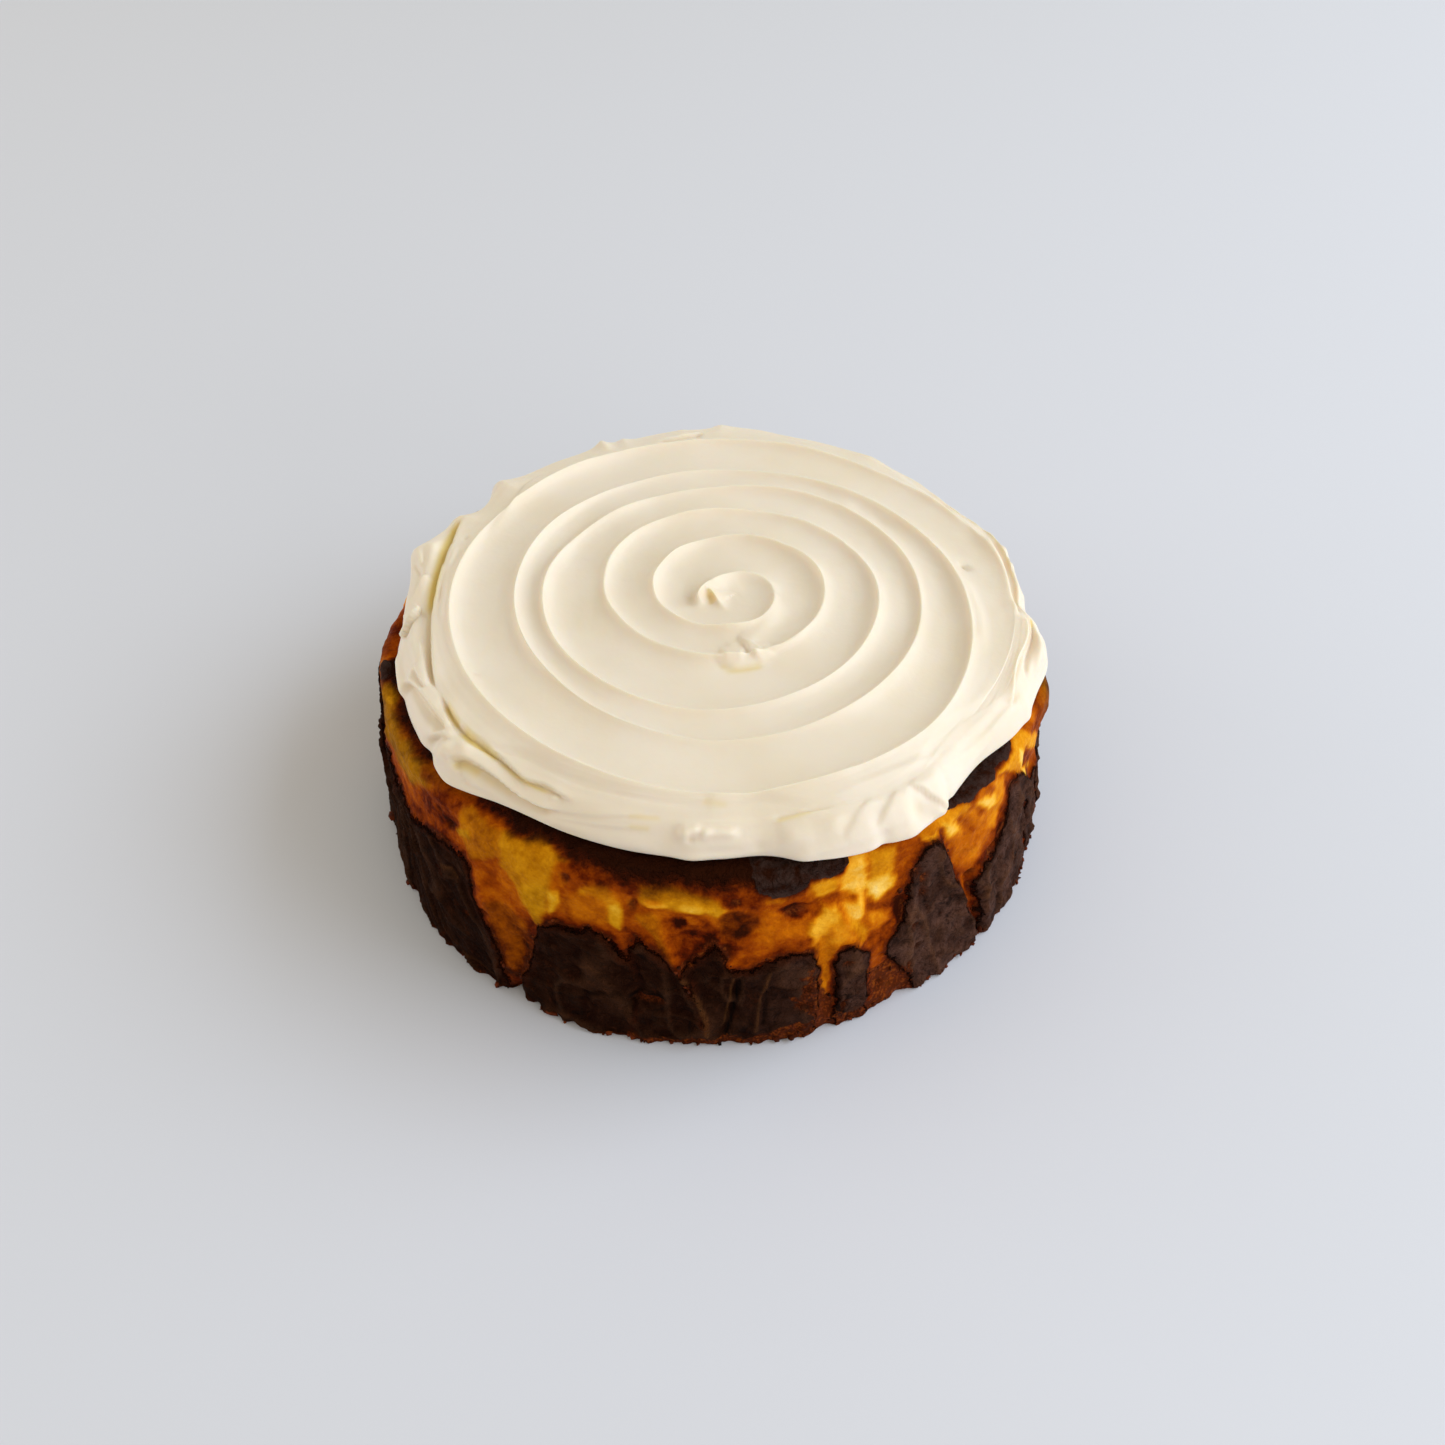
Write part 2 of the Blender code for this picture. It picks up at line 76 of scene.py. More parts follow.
CAKE_COLUMNS = 800
BASE_ROWS = 4
WALL_ROWS = 84
SHOULDER_ROWS = 10
TOP_ROWS = 18

# each skin is an outline of (angle, height) corners on the wall, from left to right round the front
SKINS = {
    "left": [(-79, -3), (-79, 38), (-72, 39), (-66, 37), (-62, 39), (-58, 37.5), (-54, 40), (-50, 42),
        (-45, 43), (-41, 43.5), (-40, 39), (-39.8, 33), (-37.5, 28.5), (-35.6, 24), (-34.6, 18),
        (-34.2, 8), (-33.2, -3)],
    "front left": [(-31.6, -3), (-31.4, 6), (-30, 13), (-28.6, 20), (-28, 28), (-26.6, 34.5),
        (-24.6, 37), (-22.5, 38.5), (-20.5, 37.6), (-18, 39), (-15.5, 37), (-13.6, 33), (-11.5, 30),
        (-9.5, 20), (-11, 10), (-12, -3)],
    "front narrow": [(-13.5, -3), (-11, 20), (-12.3, 32), (-11, 39.5), (-8.5, 37), (-5, 29.5),
        (-1.2, 18), (-0.2, -3)],
    "front": [(-1, -3), (-1.8, 17), (-4.2, 30.5), (-2, 33.5), (0.6, 40), (2, 38), (2.6, 31), (5, 30),
        (8, 31.5), (12, 34), (16, 32.5), (16.8, 27), (16.6, 12), (16.4, -3)],
    "tab": [(19.4, -3), (19.3, 26), (20.2, 29.5), (22.6, 30.5), (24.8, 25), (25.2, 14), (25, -3)],
    "right": [(34.5, -3), (33, 6), (31, 14), (28.6, 21), (28.8, 26), (31.5, 31), (32, 42), (33.6, 50),
        (36, 55), (37.6, 54), (39, 50), (41.4, 39), (44.3, 26), (46.4, 15), (48.6, 4), (49.4, -3)],
    "far right": [(49.8, -3), (50.2, 8), (48, 20), (47.6, 26), (50, 29), (54, 30), (56, 38), (57.4, 47),
        (59, 49.5), (62.5, 45), (65.6, 39), (66.6, 28), (66.4, 16), (68.2, -3)],
    "side": [(68.6, -3), (69.4, 14), (67.6, 27), (70, 35), (75, 38), (79, 37), (79, -3)],
}

# creases left by the paper: half width, height (below 0 for a groove), then (angle, height) points
CREASES = [
    (3.2, 1.5, [(-39, 46), (-36.5, 32), (-32.5, 10)]),
    (1.4, -1.4, [(-31.2, 24), (-31.8, 10), (-32.2, 0)]),
    (1.2, -1.5, [(-12, 34), (-10.3, 21), (-12.5, 12)]),
    (1.2, 1.1, [(-10, 47), (-7, 40), (-4.5, 30), (-1.6, 18), (-0.5, 5)]),
    (0.8, -1.2, [(4.6, 28), (3.4, 17), (1.8, 4)]),
    (1, 0.8, [(9, 29), (7.4, 16), (6.8, 6)]),
    (0.8, -0.6, [(8.4, 21), (7.9, 8)]),
    (2, -1.3, [(17.4, 36), (18.2, 18), (18.6, 8)]),
    (0.9, -0.7, [(-20, 15), (-17, 16.5), (-14, 18)]),
    (1, -0.7, [(-47.5, 34), (-45, 35), (-43.4, 33), (-45, 31)]),
    (1.5, -1.6, [(65.4, 31), (67, 24), (69, 13)]),
    (1.2, -0.8, [(54.5, 29), (54, 16), (55, 2)]),
    (1.2, -0.6, [(60.5, 33), (60.8, 20), (61.5, 6)]),
    (1.6, -2, [(46.2, 29), (47.8, 17), (49.7, 2)]),
    (1.2, -0.7, [(38, 30), (39.5, 20), (39, 8)]),
    (0.9, -0.5, [(41.5, 30), (43, 18), (44.2, 6)]),
]

# sheets that stand proud and end in a crisp edge: (angle, height) down the edge, the side on which the
# sheet lies (-1 left of the edge, 1 right of it), how far it stands out, how wide it takes to lie down
FLAPS = [
    ([(38.2, 55), (39.4, 49), (41.6, 39), (44.5, 25), (46.6, 15), (48.9, 3)], -1, 1.3, 4.5),
    ([(20.2, 46), (21.2, 41), (22.8, 36), (25.1, 29)], -1, 1.2, 5),
    ([(23.2, 51), (23.6, 45), (24.8, 39)], -1, 0.7, 3),
    ([(-23.3, 52.5), (-23, 47), (-23.8, 42)], -1, 0.7, 2.6),
    ([(49.6, 24), (50.4, 10), (50.8, 1)], 1, 0.8, 4),
    ([(64.8, 47), (66.3, 40), (67.2, 30)], -1, 0.9, 5),
    ([(-67.2, 60), (-68.8, 52), (-71.5, 44)], 1, 0.8, 4),
]

# small holes torn in the skin and the cheese: angle, height, half widths across and up, depth
PITS = [
    (34.6, 17.4, 0.8, 1.3, 1.2), (32.8, 12.4, 0.8, 1.6, 1.2), (33.8, 26, 0.9, 1.2, 1.3),
    (33.6, 47, 1.4, 2.6, 1), (35.4, 43, 1.1, 2.2, 0.9), (35.2, 38, 1.2, 2.2, 0.9),
    (31, 39, 1.6, 1.2, 0.8), (21.3, 25.2, 0.8, 1, 0.6), (14, 13.5, 1.4, 2.4, 0.9),
    (14.6, 20.5, 1.2, 1.6, 0.7), (2.6, 36, 0.8, 3.6, 0.8), (-3, 32, 1, 1.4, 0.8),
    (-9, 17.5, 2.6, 1.4, 0.9), (-36.8, 29.5, 1.2, 1.2, 0.7), (-31.5, 28.5, 1.4, 1.4, 0.7),
    (-46, 48, 1.1, 1.1, 0.7), (-48.3, 51.5, 0.9, 1.3, 0.6), (-47.8, 31, 1.6, 0.9, 0.7),
    (47, 28.6, 1.6, 1.4, 1), (52.6, 32, 1.6, 1.6, 1.2), (13, 47.6, 2.2, 1.8, 0.6),
    (4, 54, 0.9, 1.2, 0.5), (-21.8, 55.5, 1, 2.6, 0.5), (-11.4, 51, 1, 2.4, 0.6),
    (9, 56.5, 1.2, 1.2, 0.5), (58.6, 47.5, 1.4, 1.6, 0.7), (-41.5, 23, 1, 0.8, 0.4),
    (21, 8, 0.8, 2.6, 0.8), (27.2, 9, 1.2, 2.4, 0.7), (29.3, 16, 1, 1.4, 0.6),
]

# wide dents and bulges of the wall: angle, height, half widths across and up, depth outwards
DENTS = [
    (-68, 20, 14, 20, -1.6), (-49, 30, 14, 16, 0.8), (-33, 52, 9, 9, 1), (24, 50, 7, 10, -1),
    (45, 46, 8, 12, -1.8), (68, 54, 9, 10, 1),
]

# the same for single places, which the unseen part doesn't repeat
SINGLE_DENTS = [
    (-98, 58, 13, 18, -2.4), (75, 54, 5, 14, 1.8), (96, 58, 13, 18, -3.6), (-134, 61, 15, 9, -2.6),
]

# places browned darker, which the unseen part doesn't repeat: angle, length, half widths, tone
SINGLE_BROWNING = [(-86, 52, 8, 14, 0.92), (77, 55, 5, 9, 0.93)]

# notches where the base has crumbled away: angle, half width, depth
NOTCHES = [(-32.3, 1.3, 3.2), (-24.6, 0.9, 1.8), (-28.4, 0.5, 0.8), (-19.5, 0.6, 0.9), (31.5, 0.8, 0.8)]

NOTCH_DEPTH = 1.1

# where the top of the wall stands up or sinks: angle, half width, rise
RIM_LIPS = [(-80, 12, 1.2), (72, 9, 0.8), (180, 45, -1.2)]

# lower edge of the burnt top, as (angle, length up the wall and over its edge)
BURNT_EDGE = [
    (-79, 62.5), (-70, 62.8), (-62, 61.6), (-58, 61), (-54.5, 60.8), (-53, 64), (-46, 65.5), (-41, 62.6),
    (-36, 62), (-32, 61), (-30, 62), (-27.5, 63.8), (-25.5, 63.4), (-24, 61.8), (-20, 60), (-15, 58.4),
    (-9, 58.8), (-4, 58.6), (0, 57.4), (4, 58), (6.6, 58.4), (7.4, 56.4), (9.2, 55.4), (10.4, 56.4),
    (12.5, 54.8), (14.6, 55.4), (15.2, 58.6), (17, 58.6), (19, 56.4), (20.6, 56.4), (21.4, 60), (22, 66),
    (26, 74), (38, 74), (40.4, 66), (41.6, 61.4), (43.6, 60.6), (45.6, 59), (50, 59.6), (54, 58.8),
    (58.4, 59.6), (59.4, 61.6), (62, 64.6), (64, 68), (69, 62.5), (73, 60.6), (76, 63), (79, 62.5),
]

# the cheese's colour, with the palest patches at the right partly painted highlights, from pale crumb (0)
# over yellow and orange to brown (1), as patches laid over one another: tone, how yellow it is for its
# tone, softness of the edge, how far the patch stands out, then its (angle, length) outline
CHEESE_TONE = 0.74
PATCH_RISE = 0.6
PATCH_SOFTER = 0.3
PATCHES = [
    (0.8, 0.3, 1, 0, [(-37, 34), (-33, 37), (-29.5, 34), (-28, 24), (-29.6, 12), (-31.5, 6), (-34.8, 6),
        (-36, 20)]),
    (0.7, 1, 2.2, 0, [(-76, 60), (-72, 62), (-66, 61), (-60.4, 60.2), (-57.4, 59.5), (-54, 60.5),
        (-50.4, 60.8), (-47.8, 61.2), (-47.6, 59), (-50, 56.2), (-54.2, 51.8), (-58, 50), (-62, 50),
        (-68, 52), (-74, 54)]),
    (0.68, 1, 1.2, 0.3, [(-64, 58), (-60, 59.4), (-57.8, 59), (-54.4, 59.8), (-52.4, 59.5),
        (-52.6, 56.5), (-55.4, 52.5), (-57.2, 51), (-60.5, 51), (-64, 54)]),
    (0.5, 1, 0.6, 0.3, [(-76, 60), (-74, 63.8), (-71, 63.5), (-68.5, 62), (-69, 60), (-73, 59)]),
    (0.84, 0.25, 1.5, 0, [(-53.6, 60.2), (-50.4, 60.8), (-47.6, 61.5), (-42.8, 63.5), (-42.6, 61),
        (-46.2, 60), (-49.6, 57.8), (-52.8, 58)]),
    (0.88, 0, 1.6, 0, [(-54.8, 52.2), (-50, 57.5), (-46.6, 59.5), (-43, 60.2), (-41.6, 55.5),
        (-44, 49.5), (-47.8, 47.2), (-52, 45.2), (-54.8, 46.5)]),
    (1, 0, 0.4, -0.6, [(-46.8, 48.8), (-45.2, 50.5), (-45.4, 48), (-46.6, 46.8)]),
    (0.67, 0.5, 0.7, 0.5, [(-42.8, 59.2), (-41.2, 60.8), (-37.4, 60.2), (-34.6, 60), (-32.2, 61),
        (-31.4, 58.8), (-33.2, 53.8), (-37, 48.5), (-40.2, 46), (-41.6, 48.2), (-42.4, 52.8)]),
    (0.58, 1, 0.4, 0.4, [(-44, 49.5), (-42.2, 52.8), (-40.4, 54.2), (-40.2, 52), (-41.4, 51.5),
        (-43.2, 49.2)]),
    (0.58, 0.75, 0.8, 0.6, [(-33.8, 60.2), (-31, 61), (-28.2, 63.8), (-26.2, 63.8), (-24.4, 62.2),
        (-22.8, 61.2), (-21.2, 60.5), (-22.2, 59.8), (-23, 59.5), (-23.2, 57.5), (-24, 53.2),
        (-23.8, 51.2), (-24.8, 47.2), (-25, 41.2), (-26.2, 36.2), (-27.6, 34.8), (-28.2, 38.5),
        (-29.4, 43.2), (-31.6, 48), (-33.4, 49.8)]),
    (0.53, 1, 1.4, 0, [(-29, 48.2), (-26.2, 51.8), (-24.6, 49.8), (-25.4, 41), (-26.8, 36.2),
        (-27.8, 37.8), (-29.2, 42.2)]),
    (0.34, 1, 0.5, 0.7, [(-23.8, 51.2), (-22.8, 50.8), (-22.8, 46.5), (-23.6, 42.5), (-24.6, 39.8),
        (-25.2, 41.5), (-24.6, 46.2)]),
    (0.71, 0, 1.2, 0, [(-23.2, 59), (-21.2, 60.2), (-18.8, 58.5), (-20, 53), (-21.4, 48.8),
        (-22.4, 50.2), (-23.8, 52), (-23.4, 56.2)]),
    (0.9, 0, 0.6, -0.3, [(-22.2, 57.2), (-21, 57.5), (-20.6, 56), (-21.6, 54.5), (-22.4, 55.2)]),
    (0.93, 0, 0.5, -0.3, [(-20, 57.8), (-18.8, 58), (-18.6, 57), (-19.6, 56.5)]),
    (0.67, 0.15, 1.4, 0.2, [(-22.2, 48.8), (-20, 53), (-17.8, 52.2), (-14.8, 51.5), (-14.4, 48.2),
        (-15.4, 42.5), (-18, 40.5), (-21.2, 40.8), (-23, 43)]),
    (0.5, 0.5, 0.8, 0.3, [(-20, 53), (-18.8, 55.2), (-16.4, 57), (-15, 56.8), (-14.2, 54), (-14, 51.2),
        (-15.8, 51), (-17.8, 51.5), (-19.6, 51)]),
    (0.38, 1, 0.6, 0.3, [(-14.6, 49.2), (-13.6, 50.2), (-12.8, 49), (-12.8, 45.5), (-13.4, 41.2),
        (-14.4, 41.8), (-15.6, 44), (-15.2, 47.2)]),
    (0.77, 0, 0.9, 0, [(-12.6, 52.5), (-10.6, 53.2), (-10.4, 47.8), (-10.8, 43), (-11.4, 38),
        (-12.2, 34), (-13, 38.5), (-12.8, 45.5)]),
    (0.95, 0, 0.4, -0.7, [(-11.4, 53.5), (-10.6, 53), (-10.6, 51.2), (-11.2, 51.8)]),
    (0.48, 0.75, 1, 0.7, [(-10, 58), (-8.4, 58.5), (-6, 58.2), (-3.2, 57.5), (-0.2, 56.2), (1.6, 54.5),
        (2.4, 51.8), (1.4, 49), (-0.6, 50.2), (-2.8, 50.5), (-5.2, 50.8), (-7.4, 51.2), (-9.2, 51),
        (-10.2, 52.8)]),
    (0.33, 0, 0.7, 0.3, [(-9.4, 53.2), (-8, 53.2), (-6.8, 52.2), (-8, 51.2), (-9.2, 51.5)]),
    (0.34, 0.7, 0.7, 0.4, [(-3.8, 52), (-2.2, 52.5), (0, 52.2), (0.4, 51), (-1.8, 51), (-3.6, 51.2)]),
    (0.69, 0.4, 0.8, 0.4, [(-10.8, 47.8), (-8.6, 49.5), (-7.2, 45.8), (-7, 41.2), (-5.8, 36), (-5, 30.8),
        (-5.8, 30.8), (-7.4, 35.8), (-8.4, 40.2), (-10, 44.2)]),
    (0.83, 0, 1, 0, [(-7, 47.5), (-3.6, 49.2), (-0.6, 48.2), (1, 44.2), (-0.2, 40.2), (-1.6, 36.8),
        (-3.2, 31.8), (-4.8, 31.5), (-5.6, 36.2), (-6.8, 41.8)]),
    (1, 0, 0.6, -0.4, [(-6, 46), (-5, 47.5), (-3.2, 47), (-3.2, 44.2), (-4.8, 42.8)]),
    (0.97, 0, 0.5, -0.3, [(-3.4, 43.8), (-0.4, 43.2), (0.8, 44.2), (-0.2, 41.5), (-2.4, 40.8),
        (-4.6, 41)]),
    (0.73, 0, 0.5, 0.3, [(-3.4, 47.5), (-1.8, 47.5), (-0.4, 46), (-0.6, 44.5), (-2.4, 45), (-3.2, 46)]),
    (0.86, 0, 0.5, -0.2, [(-4.4, 38.5), (-3.4, 38.2), (-3.4, 36.2), (-4.4, 36.2)]),
    (0.9, 0.25, 1, -0.2, [(1.8, 49), (3.4, 51), (5, 49.8), (6.8, 48.2), (7.6, 47), (7.2, 43),
        (5.6, 41.2), (3.8, 40.8), (1.8, 41.5), (1, 44.5)]),
    (0.9, 0, 0.6, -0.3, [(-1.2, 47.2), (0.4, 46.8), (1.6, 43.8), (1.2, 41), (0, 39.8), (-1.4, 41)]),
    (0.93, 0, 0.8, 0, [(2, 56.2), (3.4, 56.5), (4.8, 55.5), (4.6, 53.2), (3.2, 52.8), (2.2, 54)]),
    (0.84, 0, 0.8, 0, [(4.8, 58), (7, 57.2), (8.2, 54.8), (11, 54.2), (13.8, 54.5), (15, 55.2),
        (15.4, 50), (13, 50.5), (10.6, 50.2), (8.2, 52.5), (6.4, 52.2), (5, 54.8)]),
    (0.75, 0.25, 0.6, 0.2, [(7.8, 54.8), (9.8, 54.2), (12, 54.2), (11, 52.5), (8.6, 52.8)]),
    (1, 0, 0.5, -0.6, [(10.6, 49.8), (11.8, 50.5), (13.4, 50), (15.2, 50.2), (16.8, 49.2), (17.6, 46),
        (16.8, 44), (15.2, 46), (14, 45), (12.8, 45), (11.6, 46.5)]),
    (0.83, 0, 0.6, 0, [(13.4, 49.2), (15.2, 49.5), (16.8, 48.8), (17.4, 46), (16.4, 45), (14.8, 46.8),
        (13.6, 47)]),
    (0.72, 0, 0.5, 0.5, [(8, 47.5), (9, 48.2), (11, 47.2), (12.6, 45), (14, 44.8), (15.4, 45.5),
        (16, 41), (16, 36.2), (15.2, 35), (13, 34.2), (11.6, 34.2), (9.6, 33.2), (8, 32.5), (7, 35.2),
        (6.8, 37.8), (3.4, 38.8), (5.6, 41), (6.8, 42.5), (7.4, 44.8)]),
    (0.67, 0, 0.8, 0, [(8.2, 45.5), (11, 45.8), (14, 43.2), (15.4, 43.2), (15.4, 40.2), (12, 39.5),
        (8.6, 39.5), (7.6, 42.2)]),
    (0.43, 0.5, 1.1, 0.4, [(15.2, 57.8), (16.4, 57.5), (19, 56.2), (20, 55.2), (20, 50), (17.6, 50),
        (16.2, 51.2), (15.4, 54.2)]),
    (0.26, 0, 1.1, 0.7, [(22, 61.2), (23.6, 61.2), (24.8, 59.5), (25, 57.2), (25, 51.8), (25, 46.5),
        (24.8, 40.8), (24, 37.2), (22.6, 38.2), (21.2, 42.2), (20.4, 45.8), (22.8, 45.2), (23, 47),
        (20.4, 49.8), (20, 54.5), (20.8, 56.5), (21.6, 59)]),
    (0.46, 0.5, 1.1, 0.2, [(25.4, 59), (30, 58.5), (30, 54.8), (29.6, 50), (28, 49), (26, 50.5),
        (25, 55.5)]),
    (0.73, 0, 0.9, 0, [(28.2, 62), (30.2, 60.2), (32.6, 59.8), (34.8, 59.5), (35.2, 56.5), (34.2, 55),
        (32.2, 49.8), (30.2, 49.2), (30, 55.8), (30, 58.8), (27, 60.2)]),
    (0.2, 0.3, 0.6, 0.2, [(34.4, 60), (35.9, 60), (38.1, 58.1), (37.7, 54.4), (34.8, 56.4)]),
    (0.18, 0.4, 1, 0.4, [(24.8, 49.6), (28.2, 49.3), (30.1, 47.5), (29.5, 44.6), (28, 42.1),
        (26.4, 40.6), (24.7, 45.1)]),
    (0.02, 0.2, 0.8, 0.4, [(25.3, 47.1), (26.8, 47), (27.9, 44.3), (26.7, 42.4), (25.1, 44.7)]),
    (0.79, 0, 0.8, 0, [(24.8, 43.2), (27.2, 40), (29.8, 39.8), (30, 32.2), (28.4, 29.8), (27.4, 26.2),
        (28, 20.8), (26.4, 15.8), (25.2, 18.2), (25, 29.8)]),
    (0.55, 0, 1, 0.3, [(25.4, 38), (27.4, 38), (29, 35.8), (28.8, 33), (26.6, 32), (25.2, 32)]),
    (0.94, 0, 0.6, -0.3, [(30, 40), (31.6, 39.2), (32.8, 34.2), (32.6, 28.2), (30.8, 27.8), (30, 33.5)]),
    (0.5, 0.5, 0.5, -0.2, [(21.4, 38.8), (24, 37.2), (25, 34.8), (25, 30.5), (23.6, 30.8),
        (22.2, 35.8)]),
    (0.56, 0.25, 0.4, 1, [(16.6, 49.5), (18.2, 47.5), (19.2, 46.5), (20, 43.2), (20.8, 39.8), (21.8, 36),
        (23.6, 29.8), (23.4, 29.2), (21.2, 31.5), (20.2, 32.2), (19.6, 29), (19, 25.2), (18.8, 21),
        (18.2, 17), (18, 13.2), (17.2, 15), (16.8, 19.8), (16.6, 23.8), (16.2, 27.8), (16, 31.5),
        (15.8, 36.5), (15.4, 40.2), (15.4, 43.2), (16, 44), (17.6, 45.5)]),
    (0.32, 0.25, 0.9, 0.2, [(15.6, 43), (17, 44), (17.8, 47), (19.2, 46.2), (20, 43), (19.2, 41.5),
        (18, 41), (17.8, 37.8), (16.8, 36), (16, 37.5), (15.6, 40.2)]),
    (0.47, 0, 0.9, 0, [(19, 39.8), (20.6, 39.2), (21.8, 35.8), (23.4, 30), (21.4, 32), (20, 33.8),
        (19, 35.8)]),
    (0.68, 0, 0.9, 0.2, [(25, 27.2), (28.4, 25.2), (28.6, 18.2), (27.6, 12.8), (26.2, 13.5),
        (25.2, 18.2)]),
    (0.51, 0.25, 1, 0.3, [(33.4, 59.5), (36.4, 60.5), (39.8, 60.5), (41.8, 60), (44.8, 59.2), (45.2, 57),
        (45, 53.5), (42.2, 55), (39.8, 55.5), (37.6, 56), (35.4, 56.8)]),
    (0.2, 0.3, 1.1, 0.4, [(38.5, 58.3), (42.3, 55.2), (44.3, 48.4), (44.3, 42.3), (42, 46),
        (39.9, 51.9)]),
    (0.64, 0, 1, 0, [(39.2, 50.5), (43.6, 49), (49.4, 42.5), (48.8, 35.5), (47.2, 31), (44.6, 31.2),
        (42.2, 39), (40.2, 45.5)]),
    (0.16, 0.3, 1.1, 0.4, [(46.7, 56.8), (52.5, 52.2), (53.3, 46.7), (50.8, 47.4), (47.2, 54.1)]),
    (0.48, 0, 0.9, 0, [(50.8, 58.5), (54.8, 55.2), (56.2, 48.2), (54.6, 44.2), (53.4, 38), (50.6, 41.2),
        (50, 48.2), (53.2, 47.5), (52.8, 51.8)]),
    (0.59, 0, 0.8, 0.2, [(45.4, 54.8), (50.4, 48.2), (50.4, 41.8), (46.2, 47.5)]),
    (0.42, 0.3, 0.5, 0.6, [(59.4, 60.5), (62.2, 61), (93.4, 13.2), (89.6, 13.2), (62.8, 53.8),
        (61.6, 50.5), (64.4, 41), (59.6, 48.2), (56.2, 55.2), (52.8, 57.8), (53, 59.2), (56.6, 58.2),
        (58.8, 58.8)]),
    (0.06, 0.3, 0.3, 0.4, [(59.6, 59), (61.5, 55.4), (63.1, 46.7), (65.1, 40.2), (62.5, 44.6),
        (60.2, 52.6)]),
    (0.42, 0.75, 0.5, 0.3, [(93.4, 13.2), (91.4, 19.8), (71.4, 49.8), (84.6, 22.8), (90.2, 5.2),
        (63.8, 46), (93.2, 2.8), (89.6, 13.2)]),
]

# flakes of grey char on the burnt top, as (angle, length) outlines
CHARS = [
    [(6.6, 68.2), (6.4, 64.5), (7, 60), (7.2, 57.5), (8.2, 55.2), (9.4, 54.5), (11.4, 55), (13.8, 55),
        (15, 57), (15.2, 58.8), (17.4, 58), (19.2, 56.2), (20.4, 57.2), (21.4, 59), (22, 61),
        (21.4, 65.5), (15, 70.5), (9.6, 71.2)],
    [(41.6, 63), (44.4, 63.8), (48.2, 64.8), (51.8, 66.2), (55.4, 66.2), (59, 65), (60.8, 62.8),
        (60.6, 60.5), (58.8, 59.2), (56.2, 58.8), (53, 59.2), (51.8, 58), (48.2, 58.8), (45.8, 58.8),
        (43.6, 60), (40.8, 61)],
]

# where the wall is torn to red crumbs
TORN_AREAS = [
    [(25.2, 17), (28.6, 18.2), (31.8, 13.2), (34, 4), (32.4, 0), (29.6, 0.2), (26.6, 3), (25.4, 10.2)],
    [(13.6, 24.2), (15.6, 27.5), (16.6, 23.8), (17.2, 13.8), (18.8, 10.8), (20, 3), (17.8, 3.5),
        (15.6, 11), (13.6, 12.8), (12.8, 16.2)],
    [(-13, -2), (-12.5, 2), (-8, 2.6), (0, 3), (8, 4), (13, 5.6), (16.5, 7.4), (18.6, 8), (19.2, 3.4),
        (23, 3), (26, 5.4), (30, 5), (33.4, 6), (34, -2)],
]

# how wide the burnt edge melts into the cheese: angle, width
BURNT_FADE = [
    (-79, 2.4), (-52, 2.4), (-46, 1.6), (-34, 1.2), (-24, 1.2), (-18, 4.6), (2, 4.6), (7, 1.6), (79, 1),
]

# lines on the skins: a painted highlight along a fold that stands out (1), painted shade blackening a
# groove (-1)
SKIN_LINES = [
    (0.8, 1, [(-5.4, 32), (-4.2, 28.5), (-1.7, 19), (-0.7, 12), (-0.5, 6)]),
    (0.6, 0.6, [(3.7, 29), (2.9, 18), (2.1, 9)]),
    (0.7, 0.6, [(9, 29), (7.6, 18), (6.9, 7)]),
    (0.6, -0.75, [(4.4, 26), (3.6, 15), (2.4, 5)]),
    (0.9, -0.8, [(-12, 33), (-10.3, 22)]),
    (1.2, -0.7, [(-12, 17.5), (-7, 19)]),
    (0.9, -0.6, [(8.5, 20), (8, 8)]),
    (0.8, 0.5, [(-47.6, 33.4), (-45.2, 35.2), (-43.6, 33.6)]),
    (1, -0.5, [(-49, 31.2), (-45, 30.6)]),
    (0.7, 0.5, [(48, 26), (49.8, 22), (50.4, 10)]),
    (0.8, 0.4, [(43.8, 26), (46, 15), (48.2, 4)]),
    (0.8, 0.4, [(-20.6, 24), (-18.6, 26), (-16.8, 24.6)]),
    (0.8, -0.5, [(-20, 14.6), (-14, 17.4)]),
    (0.8, 0.4, [(-44.4, 3.4), (-41, 4), (-37.4, 3)]),
    (1.1, -0.7, [(19.8, 20), (20, 6)]),
    (0.9, -0.7, [(21.6, 12), (20.8, 5)]),
    (1.1, -1, [(65.6, 29.6), (67.2, 23), (68.4, 17)]),
    (0.9, -0.35, [(56.4, 43), (58.4, 37.6), (61.6, 34)]),
]

# the unseen part repeats the seen one: from an angle to the next the design is the seen one turned by
# so much, as (angle, next angle, turn)
REPEATS = [(-76, 72, 0), (72, 173, 108), (173, 284, 239)]
REPEAT_BLEND = 3.0

# random grain of the wall: strength, size of the coarsest layer, seed, number of layers
SKIN_RAGS = (0.9, 3.4, 101, 3)
PIT_RAGS = (0.3, 1.6, 131, 3)
BURNT_WAVES = (1.1, 6.5, 151, 2)
BURNT_RAGS = (0.2, 2.0, 155, 2)
PATCH_WAVES = (0.95, 5.0, 171, 3)
PATCH_RAGS = (0.26, 1.8, 175, 2)
CHEESE_CLOUDS = (0.08, 7.0, 181, 3)
LEATHER_GRAIN = (1.0, 3.0, 221, 3)
CREASED_GRAIN = (0.2, 1.8, 225, 2)
BIG_LUMPS = (0.55, 9.0, 231, 2)
SMALL_LUMPS = (0.32, 3.2, 241, 3)
TORN_GRAIN = (1.0, 1.7, 251, 2)
BURNT_CRACKS = (0.16, 2.2, 261, 3)
TOP_RIPPLES = (0.22, 3.0, 271, 3)

# long wrinkles of the skins: width round the cake, length up it, seed
FOLDS = (5.2, 17.0, 201)
VEINS = (7.0, 15.0, 211)
CROSS_VEINS = (9.0, 9.0, 215)

